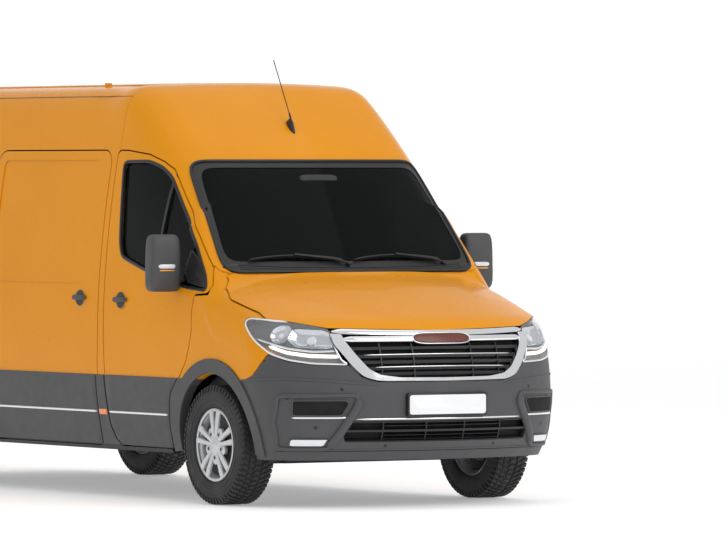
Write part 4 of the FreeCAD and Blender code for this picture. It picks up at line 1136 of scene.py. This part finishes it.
# ---- wheels --------------------------------------------------------------------------------------
def tread_blocks(centre, side):
    """Five rows of tread blocks and two shoulder rows: one eight-cornered block repeated round."""
    corner = np.array([[x, y, z] for x in (-1, 1) for y in (-1, 1) for z in (0, 1)], float)
    quads = np.array([[0, 1, 3, 2], [4, 6, 7, 5], [0, 4, 5, 1], [2, 3, 7, 6], [0, 2, 6, 4], [1, 5, 7, 3]])
    count, points, faces, start = 62, [], [], 0
    rows = [
        (-84, 17, 11.0, 0.0), (-46, 15, 8.5, 0.5), (0, 17, 9.5, 0.0), (46, 15, 8.5, 0.5),
        (84, 17, 11.0, 0.0)
    ]
    for x, half, length, shift in rows:
        a = (np.arange(count) + shift) * 2 * math.pi / count
        skew = 0.022 * np.sign(x) * corner[:, 0]
        radius = TYRE_R - 11 + corner[:, 2] * (10.2 if abs(x) < 80 else 8.6)
        angle = a[:, None] + corner[:, 1] * length / TYRE_R + skew
        px = centre[0] + side * (x + corner[:, 0] * half) + 0 * angle
        p = np.stack([px, centre[1] + radius * np.sin(angle), centre[2] + radius * np.cos(angle)], -1)
        points.append(p.reshape(-1, 3))
        faces += (quads[None] + 8 * np.arange(count)[:, None, None] + start).reshape(-1, 4).tolist()
        start += 8 * count
    for way in (-1, 1):
        a = np.arange(count) * 2 * math.pi / count
        x = way * np.where(corner[:, 2] > 0.5, 101, 110.5) + way * np.where(corner[:, 0] > 0, 3.0, -10.0)
        radius = np.where(corner[:, 2] > 0.5, TYRE_R - 7, TYRE_R - 34)
        angle = a[:, None] + corner[:, 1] * 9.5 / TYRE_R
        px = centre[0] + side * x + 0 * angle
        p = np.stack([px, centre[1] + radius * np.sin(angle), centre[2] + radius * np.cos(angle)], -1)
        points.append(p.reshape(-1, 3))
        faces += (quads[None] + 8 * np.arange(count)[:, None, None] + start).reshape(-1, 4).tolist()
        start += 8 * count
    return np.vstack(points), faces


TYRE_PROFILE = [
    (-84, 212), (-101, 222), (-110, 245), (-112, 275), (-111, 300), (-106, 322), (-96, 336), (-84, 340)
]
TYRE_PROFILE += [(-68, 341), (-64, 337), (-60, 341), (-32, 342), (-28, 337), (-24, 342)]
TYRE_PROFILE += [(-x, r) for x, r in TYRE_PROFILE[::-1]] + [(70, 216), (-70, 216)]


def spoke(i, centre, side):
    """One of ten spokes in five pairs: a domed bar that widens towards the rim."""
    r = np.linspace(48, 203, 16)
    sideways = (1 if i % 2 else -1) * 0.045 * (r - 48)
    dome = 97 + 4.5 * np.sin((r - 48) / 155 * math.pi * 0.8)
    half = np.linspace(12, 19, 16)[:, None]
    section = np.array([(-1, -14), (1, -14), (1, -3), (0.72, 3), (-0.72, 3), (-1, -3)])
    grid = np.stack([
        side * (dome[:, None] + section[None, :, 1]),
        sideways[:, None] + half * section[None, :, 0],
        r[:, None] + 0 * section[None, :, 0],
    ], -1)
    degrees = 72 * (i // 2) + (13 if i % 2 else -13)
    return moved(sheet(grid, False, True, True), turn("X", degrees), by=centre)


def bolt_places(centre, radius):
    angles = [math.radians(72 * i + 36) for i in range(5)]
    return [(centre[0], centre[1] + radius * math.sin(a), centre[2] + radius * math.cos(a)) for a in angles]


def wheel(end, name, side):
    body = f"{end}_{name}_roller"
    centre = middle(f"{end}_{name}_tyre")
    tyre = lathe(TYRE_PROFILE, centre, side)
    ribs = [lathe(
        [(x - 1.2, r + 3), (x - 1.2, r - 3), (x + 1.6, r - 3), (x + 1.6, r + 3)], centre, side
    ) for x, r in
            ((111.2, 262), (110.9, 290), (104.5, 228))]
    piece(f"{end}_{name}_tread", [tyre, tread_blocks(centre, side)] + ribs, FINISHES["tread_rubber"], body,
          replaces=[f"{end}_{name}_tyre"], crease=28, recalc=True)
    rim = [
        (-88, 214), (-92, 209), (-88, 204), (-60, 196), (-20, 182), (40, 180), (70, 190), (92, 203),
        (97, 209), (92, 215)
    ]
    rim += [(80, 212), (60, 202), (20, 192), (-20, 192), (-60, 205), (-80, 212)]
    drum = [(-30, 1), (-30, 128), (38, 128), (44, 120), (44, 1)]
    disc = [(44, 1), (44, 185), (52, 185), (52, 1)]
    piece(
        f"{end}_{name}_rim", [lathe(rim, centre, side)], FINISHES["hub_silver"], body,
        replaces=[f"{end}_{name}_wheel"]
    )
    piece(
        f"{end}_{name}_hub", [lathe(drum, centre, side), lathe(disc, centre, side)], FINISHES["rim_steel"],
        body
    )
    cap = [lathe([(84, 196), (96, 196), (101, 203), (99, 212), (90, 214), (82, 208)], centre, side)]
    cap.append(
        lathe(
            [(70, 1), (70, 66), (94, 66), (99, 58), (102, 40), (103, 36), (106, 30), (108, 1)], centre,
            side, 60
        )
    )
    cap += [spoke(i, centre, side) for i in range(10)]
    boss = [(84, 1), (84, 15), (98, 15), (99, 11), (92, 10), (92, 1)]
    ear = [(76, 1), (76, 30), (93, 30), (96, 24), (96, 1)]
    for near, far in zip(bolt_places(centre, 74), bolt_places(centre, 84)):
        cap += [lathe(boss, near, side, 20), lathe(ear, far, side, 20)]
    piece(f"{end}_{name}_cap", cap, FINISHES["hub_silver"], body)
    nut = [(90, 1), (90, 11), (97, 11), (100, 8), (100, 1)]
    nuts = [lathe(nut, place, side, 6) for place in bolt_places(centre, 74)]
    piece(f"{end}_{name}_nuts", nuts, FINISHES["satin_black"], body)


def wheels():
    for end in ("front", "rear"):
        for side, name in ((-1, "right"), (1, "left")):
            wheel(end, name, side)


# ---- back and roof -------------------------------------------------------------------------------
def rear_door_details():
    for side, name in ((-1, "right"), (1, "left")):
        body = f"rear_door_{name}_body"
        parts = []
        for z in (760, 1330, 2130):
            parts.append(block((side * 862, TAIL_Y + 7, z), (38, 9, 22), 0.4, 12))
            parts.append(block((side * 862, TAIL_Y + 2, z), (60, 6, 32), 0.3, 12))
        piece(f"rear_hinges_{name}", parts, FINISHES["satin_black"], body)
        z = np.linspace(600, 2300, 60)
        edge = strip(on_tail(side * 7 + 0 * z, z, 0), bead(10, 4), taper=3)
        piece(f"rear_door_seal_{name}", [edge], FINISHES["satin_black"], body)
    handle_bar = [
        block((112, TAIL_Y + 10, 1210), (78, 14, 17), 0.4, 14),
        block((112, TAIL_Y + 2, 1210), (96, 6, 34), 0.3, 14)
    ]
    piece("rear_door_handle", handle_bar, FINISHES["satin_black"], "rear_door_left_body")


def rear_plate():
    """The blank rear number plate in its frame, on the right rear door."""
    centre = (-420, 860)
    edge = run([(-262, 800), (262, 800), (262, 920), (-262, 920)], 80, True, 2) + (-420, 0)

    def on_door(x, z, out):
        return stack(x, TAIL_Y - 6 + np.asarray(out), z)

    frame_edge = (edge - centre) * (1.02, 1.10) + centre
    body = "rear_door_right_body"
    piece("rear_plate_frame", [pad(frame_edge, centre, on_door, 5, edge=3)], FINISHES["satin_black"], body)
    piece("rear_plate_blank", [pad(edge, centre, on_door, 8, edge=3)], FINISHES["plate_white"], body)


def tail_lamps():
    lamps = {
        "lamp_red": [(1180, 1296), (870, 930)], "indicator_amber": [(1060, 1172)],
        "lamp_white": [(938, 1052)]
    }
    for label, spans in lamps.items():
        parts = []
        for low, high in spans:
            for side in (-1, 1):
                loop = [(side * 915, low), (side * 976, low), (side * 976, high), (side * 915, high)]
                loop = run(loop, 50, True, 2)
                parts.append(pad(loop, loop.mean(0), on_tail, 14, edge=10))
        piece(
            f"tail_{label}", parts, FINISHES[label], replaces=["tail_lamps"] if label == "lamp_red" else ()
        )
    shells = []
    for side in (-1, 1):
        loop = run(
            [(side * 908, 860), (side * 983, 860), (side * 983, 1306), (side * 908, 1306)], 70, True, 3
        )
        shells.append(pad(loop, loop.mean(0), on_tail, 7, edge=8))
    piece("tail_lamp_shells", shells, FINISHES["satin_black"])


def rear_step():
    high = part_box("rear_bumper")[1]
    top, back = 1000 * high.z, 1000 * high.y
    x = np.linspace(-900, 900, 50)
    treads = [
        strip(stack(x, back - d, top + 0 * x), bead(9, 4), (0, 0, 1), taper=2) for d in (12, 26, 40, 54)
    ]
    piece("rear_step_ribs", treads, FINISHES["satin_black"])
    reflectors = []
    for side in (-1, 1):
        loop = run(
            [(side * 560, 452), (side * 720, 452), (side * 720, 486), (side * 560, 486)], 40, True, 1
        )
        reflectors.append(
            pad(loop, loop.mean(0), lambda a, b, h: stack(a, back + np.asarray(h), b), 4, edge=5)
        )
    piece("rear_reflectors", reflectors, FINISHES["lamp_red"])
    stop = run(
        [(-130, ROOF_Z - 118), (130, ROOF_Z - 118), (130, ROOF_Z - 84), (-130, ROOF_Z - 84)], 50, True, 2
    )
    piece("high_brake_lamp", [pad(stop, stop.mean(0), on_tail, 8, edge=6)], FINISHES["lamp_red"])


def roof_details():
    y = np.linspace(FRONT + 1380, TAIL_Y - 190, 50)
    ribs = [
        strip(
            on_top(x + 0 * y, y, -1), bead(34, 4.5), taper=6
        ) for x in (-460, -310, -155, 0, 155, 310, 460)
    ]
    piece("roof_ribs", ribs, FINISHES["orange_enamel"])
    y = np.linspace(FRONT + 1262, TAIL_Y - 70, 70)
    gutters = [strip(on_side(y, ROOF_Z - 78 + 0 * y, 0, side), bead(9, 4), taper=3) for side in (-1, 1)]
    piece("roof_gutters", gutters, FINISHES["orange_enamel"])


def aerial():
    """A shark-fin foot leaning back with a thin mast."""
    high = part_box("aerial")[1]
    tip = np.array([0, 1000 * high.y - 2, 1000 * high.z - 2])
    base = on_top(0.0, FRONT + 757, 0)
    fin = []
    s = np.linspace(0, 1, 24)[:, None]
    a = np.linspace(0, 2 * math.pi, 32, endpoint=False)[None]
    slope = math.radians(41)
    along, up = np.array([0, math.cos(slope), math.sin(slope)]), np.array(
        [0, -math.sin(slope), math.cos(slope)]
    )
    length, girth = 58 * np.cos(a) * (1 - 0.72 * s), 17 * np.sin(a) * (1 - 0.6 * s**2) * np.sqrt(
        1 - s**6 + 0.02
    )
    grid = base + (length + 26 * s)[..., None] * along + (s * 42 - 2)[..., None] * up
    grid[..., 0] += girth
    fin.append(sheet(grid, False, True, True))
    root = base + 38 * up + 34 * along
    fin.append(tube(run([tuple(root), tuple(tip)], 12), 3.0, (1, 0, 0)))
    fin.append(tube(run([tuple(root), tuple(root + 0.09 * (tip - root))], 6), 6.0, (1, 0, 0)))
    piece("aerial_fin", fin, FINISHES["satin_black"], replaces=["aerial"])


# ---- cab -----------------------------------------------------------------------------------------
def stuffed(obj, swell, keep):
    """Pressure-filled cloth: voxel remesh, 20 frames without gravity, every point kept within reach."""
    scene = bpy.context.scene
    remesh = obj.modifiers.new("remesh", "REMESH")
    remesh.mode = "VOXEL"
    remesh.voxel_size = 0.012
    bpy.context.view_layer.objects.active = obj
    obj.select_set(True)
    bpy.ops.object.modifier_apply(modifier=remesh.name)
    count = len(obj.data.vertices)
    before = np.zeros(count * 3)
    obj.data.vertices.foreach_get("co", before)
    before = before.reshape(-1, 3)
    cloth = obj.modifiers.new("cloth", "CLOTH")
    cloth.settings.use_pressure = True
    cloth.settings.uniform_pressure_force = swell
    cloth.settings.effector_weights.gravity = 0
    cloth.settings.quality = 4
    for step in range(1, 21):
        scene.frame_set(step)
    depsgraph = bpy.context.evaluated_depsgraph_get()
    result = obj.evaluated_get(depsgraph)
    after = np.zeros(count * 3)
    result.data.vertices.foreach_get("co", after)
    after = after.reshape(-1, 3)
    obj.modifiers.remove(cloth)
    move = after - before
    size = np.linalg.norm(move, axis=1, keepdims=True)
    move *= np.minimum(1.0, keep / np.maximum(size, 1e-9))
    obj.data.vertices.foreach_set("co", (before + move).ravel())
    obj.data.update()
    scene.frame_set(1)
    rounded = obj.modifiers.new("rounded", "SUBSURF")
    rounded.levels = 1
    bpy.ops.object.modifier_apply(modifier=rounded.name)
    obj.select_set(False)


def cushion(name, low, high, lean=0.0, replaces=()):
    """A crowned closed pad: a superellipsoid drawn in between its corners, filled out by the cloth
    pressure."""
    low, high = np.asarray(low, float) + 7, np.asarray(high, float) - 7
    centre, half = (low + high) / 2, (high - low) / 2
    points, faces = block(centre, half, 0.30, 40)
    local = (points - centre) / half
    waist = 1 - 0.045 * (1 - local[:, 1] ** 2) * np.abs(local[:, 0]) ** 4
    points[:, 0] = centre[0] + (points[:, 0] - centre[0]) * waist
    points[:, 1] += lean * (points[:, 2] - centre[2])
    obj = piece(name, [(points, faces)], FINISHES["seat_weave"], replaces=replaces)
    stuffed(obj, 4.0, 0.012)


def seam_ring(centre, half, x_share, lean=0.0):
    """Piping: a cord run round a cushion at one width."""
    a = np.linspace(0, 2 * math.pi, 60, endpoint=False)

    def power(f):
        return np.sign(f) * np.abs(f) ** 0.30

    y, z = power(np.cos(a)) * half[1] * 1.012, power(np.sin(a)) * half[2] * 1.012
    path = np.stack([centre[0] + x_share * half[0] + 0 * a, centre[1] + y + lean * z, centre[2] + z], -1)
    return tube(path, 3.6, (1, 0, 0), True, 8)


def seats():
    low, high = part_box("seat_cushions")
    y_back = 1000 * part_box("seat_backs")[0].y
    y0, y1 = 1000 * low.y, 1000 * high.y
    spans = {"driver": [(180, 660)], "passenger": [(-820, -384), (-376, 60)]}
    lean = 94 / 640.0
    piping = []
    hidden = ["seat_cushions", "seat_backs"]
    for who, places in spans.items():
        for i, (x0, x1) in enumerate(places):
            label = f"{who}_{i + 1}"
            cushion(f"seat_cushion_{label}", (x0 + 2, y0, 826), (x1 - 2, y1, 950), replaces=hidden)
            hidden = ()
            cushion(f"seat_back_{label}", (x0 + 8, y_back + 47, 958), (x1 - 8, y_back + 167, 1600), lean)
            mid = (x0 + x1) / 2
            cushion(f"headrest_{label}", (mid - 130, y1 + 20, 1618), (mid + 130, y1 + 126, 1800), 0.05)
            centre, half = np.array([mid, (y0 + y1) / 2, 888]), np.array(
                [(x1 - x0) / 2 - 9, (y1 - y0) / 2 - 7, 55]
            )
            piping += [seam_ring(centre, half, share) for share in (-0.55, 0.55)]
            centre = np.array([mid, y_back + 107, 1279])
            half = np.array([(x1 - x0) / 2 - 15, 53, 314])
            piping += [seam_ring(centre, half, share, lean) for share in (-0.55, 0.55)]
            for x in (mid - 60, mid + 60):
                piping.append(tube(run([(x, y_back + 152, 1580), (x, y_back + 160, 1630)], 5), 6))
    piece("seat_piping", piping, FINISHES["cab_trim_light"])


def dash():
    low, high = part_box("dashboard")
    y0, y1, top = 1000 * low.y, 1000 * high.y, 1000 * high.z
    x = np.linspace(-745, 745, 60)
    shelf = [(y0 + 8, top - 62), (y0 + 70, top + 2), (y0 + 190, top + 4), (y1 - 60, top - 30)]
    shelf += [(y1 - 12, top - 84), (y1 - 20, top - 100), (y0 + 20, top - 100)]
    loop = run(shelf, 60, True, 3)
    bow = 1 - 0.10 * (np.abs(x) / 745) ** 4
    height = top + (loop[None, :, 1] - top) * bow[:, None]
    grid = np.stack(np.broadcast_arrays(x[:, None], loop[None, :, 0], height), -1)
    parts = [sheet(grid, False, True, True)]
    parts.append(block((430, y1 - 100, top + 20), (170, 75, 34), 0.4, 18))
    piece("dash_top", parts, FINISHES["cab_trim"])
    vents = []
    for cx in (-690, -70, 70, 700):
        for k in range(5):
            vents.append(block((cx, y1 - 4, top - 118 - 13 * k), (55, 8, 3), 0.4, 8))
    vents.append(block((0, y1 + 2, top - 235), (105, 8, 42), 0.3, 12))
    piece("dash_vents", vents, FINISHES["satin_black"])
    piece(
        "glovebox_lid", [block((-430, y1 + 1, top - 190), (210, 9, 78), 0.25, 16)],
        FINISHES["cab_trim_light"]
    )


def steering_wheel():
    lean = math.radians(28)
    normal = np.array([0, math.sin(lean), math.cos(lean)])
    ahead = np.array([0, math.cos(lean), -math.sin(lean)])
    hub = np.array([middle("steering_wheel")[0], FRONT + 560, 1160.0])
    a = np.linspace(0, 2 * math.pi, 72, endpoint=False)
    rim = hub + 185 * (np.cos(a)[:, None] * np.array([1.0, 0, 0]) + np.sin(a)[:, None] * ahead)
    parts = [tube(rim, 15.5, normal, True, 14)]
    for d in (np.array([1.0, 0, 0]), np.array([-1.0, 0, 0]), ahead):
        r = np.linspace(40, 182, 12)[:, None]
        path = hub + d * r - normal * 10 * np.cos(r / 182 * math.pi / 2)
        parts.append(strip(path, [(-20, -5), (20, -5), (16, 6), (-16, 6)], normal))
    s = np.linspace(0, 1, 14)[:, None]
    w = np.linspace(0, 2 * math.pi, 40, endpoint=False)[None]
    rad = 68 * np.sqrt(np.clip(1 - s**4, 0, 1))
    boss = hub + (rad * np.cos(w))[..., None] * np.array([1.0, 0, 0]) + (
        0.8 * rad * np.sin(w)
    )[..., None] * ahead
    boss = boss + (s * 26 - 16)[..., None] * normal
    parts.append(sheet(boss, False, True, True))
    parts.append(tube(run([tuple(hub - normal * 8), tuple(hub - normal * 150)], 8), 24, (1, 0, 0), n=20))
    piece("steering_wheel_rim", parts, FINISHES["satin_black"], replaces=["steering_wheel"])


def lever_and_pedals():
    y1 = 1000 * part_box("dashboard")[1].y
    rod = run([(120, y1 - 20, 1010), (120, y1 + 36, 1060), (120, y1 + 48, 1090)], 12, False, 2)
    lever = [tube(rod, 8), block((120, y1 + 52, 1108), (20, 20, 28), 0.5, 12)]
    piece("gear_lever", lever, FINISHES["satin_black"])
    pedals = []
    for cx in (330, 430, 520):
        pedals.append(block((cx, FRONT + 190, 690), (32, 9, 42), 0.4, 10))
        arm = run([(cx, FRONT + 184, 700), (cx, FRONT + 150, 820), (cx, FRONT + 118, 905)], 12, False, 2)
        pedals.append(tube(arm, 7, (1, 0, 0)))
    piece("pedals", pedals, FINISHES["satin_black"])


def load_space():
    y = np.linspace(FRONT + 1340, TAIL_Y - 90, 40)
    ribs = [
        strip(
            stack(x + 0 * y, y, 640 + 0 * y), bead(26, 5, 2), (0, 0, 1), taper=3
        ) for x in np.linspace(-560, 560, 9)
    ]
    piece("load_floor_ribs", ribs, FINISHES["load_floor_coat"])
    hoops = []
    for yy in (SLIDE[1] + 60, SLIDE[1] + 620, SLIDE[1] + 1180, SLIDE[1] + 1740):
        for side in (-1, 1):
            if abs(yy - REAR) < 460:
                z = np.linspace(880, ROOF_Z - 150, 30)
            else:
                z = np.linspace(660, ROOF_Z - 150, 34)
            path = on_side(yy + 0 * z, z, -52, side)
            hoops.append(strip(path, [(-24, -22), (24, -22), (36, 4), (-36, 4)]))
    piece("side_frames", hoops, FINISHES["primer_grey"])
    bows = []
    for yy in (FRONT + 1500, FRONT + 2150, FRONT + 2800, FRONT + 3450, FRONT + 4100, FRONT + 4700):
        x = np.linspace(-760, 760, 40)
        bows.append(strip(on_top(x, yy + 0 * x, -53), [(-22, -26), (22, -26), (32, 2), (-32, 2)]))
    piece("roof_bows", bows, FINISHES["primer_grey"])


# ---- studio --------------------------------------------------------------------------------------
CAMERA_YAW = -31.8


def backdrop():
    """A white floor that runs level away from the camera and then curves up into a wall."""
    s = np.linspace(0, 1, 60)
    reach = np.linspace(-60000, 90000, 12)
    away = np.interp(s, [0, 0.6, 1], [-60000, 60000, 64000])
    height = 26000 * np.clip((s - 0.6) / 0.4, 0, 1) ** 2
    grid = np.stack(np.broadcast_arrays(reach[None], away[:, None], height[:, None] - 0.5), -1)
    grid = grid @ turn("Z", CAMERA_YAW).T
    points, faces = sheet(grid)
    mesh = bpy.data.meshes.new("studio_floor")
    mesh.from_pydata((points * 0.001).tolist(), [], faces)
    mesh.shade_smooth()
    floor = bpy.data.objects.new("studio_floor", mesh)
    bpy.context.scene.collection.objects.link(floor)
    material, tree, shader = nodes_of("studio_white")
    cloud = ranged(tree, noise(tree, 0.5, 2.0), 0, 1)
    link(
        tree, mixed(tree, cloud, rgba(0.90, 0.90, 0.90), rgba(0.93, 0.93, 0.93)),
        shader.inputs["Base Color"]
    )
    shader.inputs["Roughness"].default_value = 0.8
    shader.inputs["Emission Color"].default_value = (1.0, 1.0, 1.0, 1.0)
    shader.inputs["Emission Strength"].default_value = 0.30
    mesh.materials.append(material)


def lighting():
    """An even white room with a broad key light ahead, a weak fill on the right and one above."""
    world = bpy.data.worlds.new("soft_room")
    bpy.context.scene.world = world
    world.use_nodes = True
    world.node_tree.nodes["Background"].inputs["Color"].default_value = (1.0, 1.0, 1.0, 1.0)
    world.node_tree.nodes["Background"].inputs["Strength"].default_value = 0.70
    lights = [
        ("key", (3.0, -11.0, 6.5), (0, -1.5, 1.0), 7.0, 330),
        ("fill", (-12.0, -3.0, 5.0), (0, 0, 1.2), 7.0, 20),
        ("top", (0, 0, 9.0), (0, 0, 0), 9.0, 120),
    ]
    for name, spot, aim, size, watts in lights:
        lamp = bpy.data.lights.new(name, "AREA")
        lamp.energy, lamp.size = watts, size
        obj = bpy.data.objects.new(name, lamp)
        bpy.context.scene.collection.objects.link(obj)
        way = np.asarray(aim, float) - spot
        yaw = math.atan2(-way[0], way[1])
        pitch = math.atan2(math.hypot(way[0], way[1]), -way[2])
        obj.location, obj.rotation_euler = spot, (pitch, 0, yaw)
    bpy.context.scene.view_settings.view_transform = "Standard"


def front_camera():
    camera = bpy.data.cameras.new("front_quarter")
    camera.sensor_width, camera.lens = 36.0, 368.5
    camera.clip_end = 400
    obj = bpy.data.objects.new("front_quarter", camera)
    bpy.context.scene.collection.objects.link(obj)
    obj.location = (-22.937, -39.002, 1.950)
    obj.rotation_euler = (math.radians(90 - 0.797), 0, math.radians(CAMERA_YAW))
    bpy.context.scene.camera = obj


make_finishes()
dress_frame()
headlamps()
grille()
badge()
fog_corners()
bumper_lines()
lower_grille()
front_plate()
screen_details()
wipers()
cab_mirror_and_visors()
side_details()
wheels()
rear_door_details()
rear_plate()
tail_lamps()
rear_step()
roof_details()
aerial()
seats()
dash()
steering_wheel()
lever_and_pedals()
load_space()
backdrop()
lighting()
front_camera()
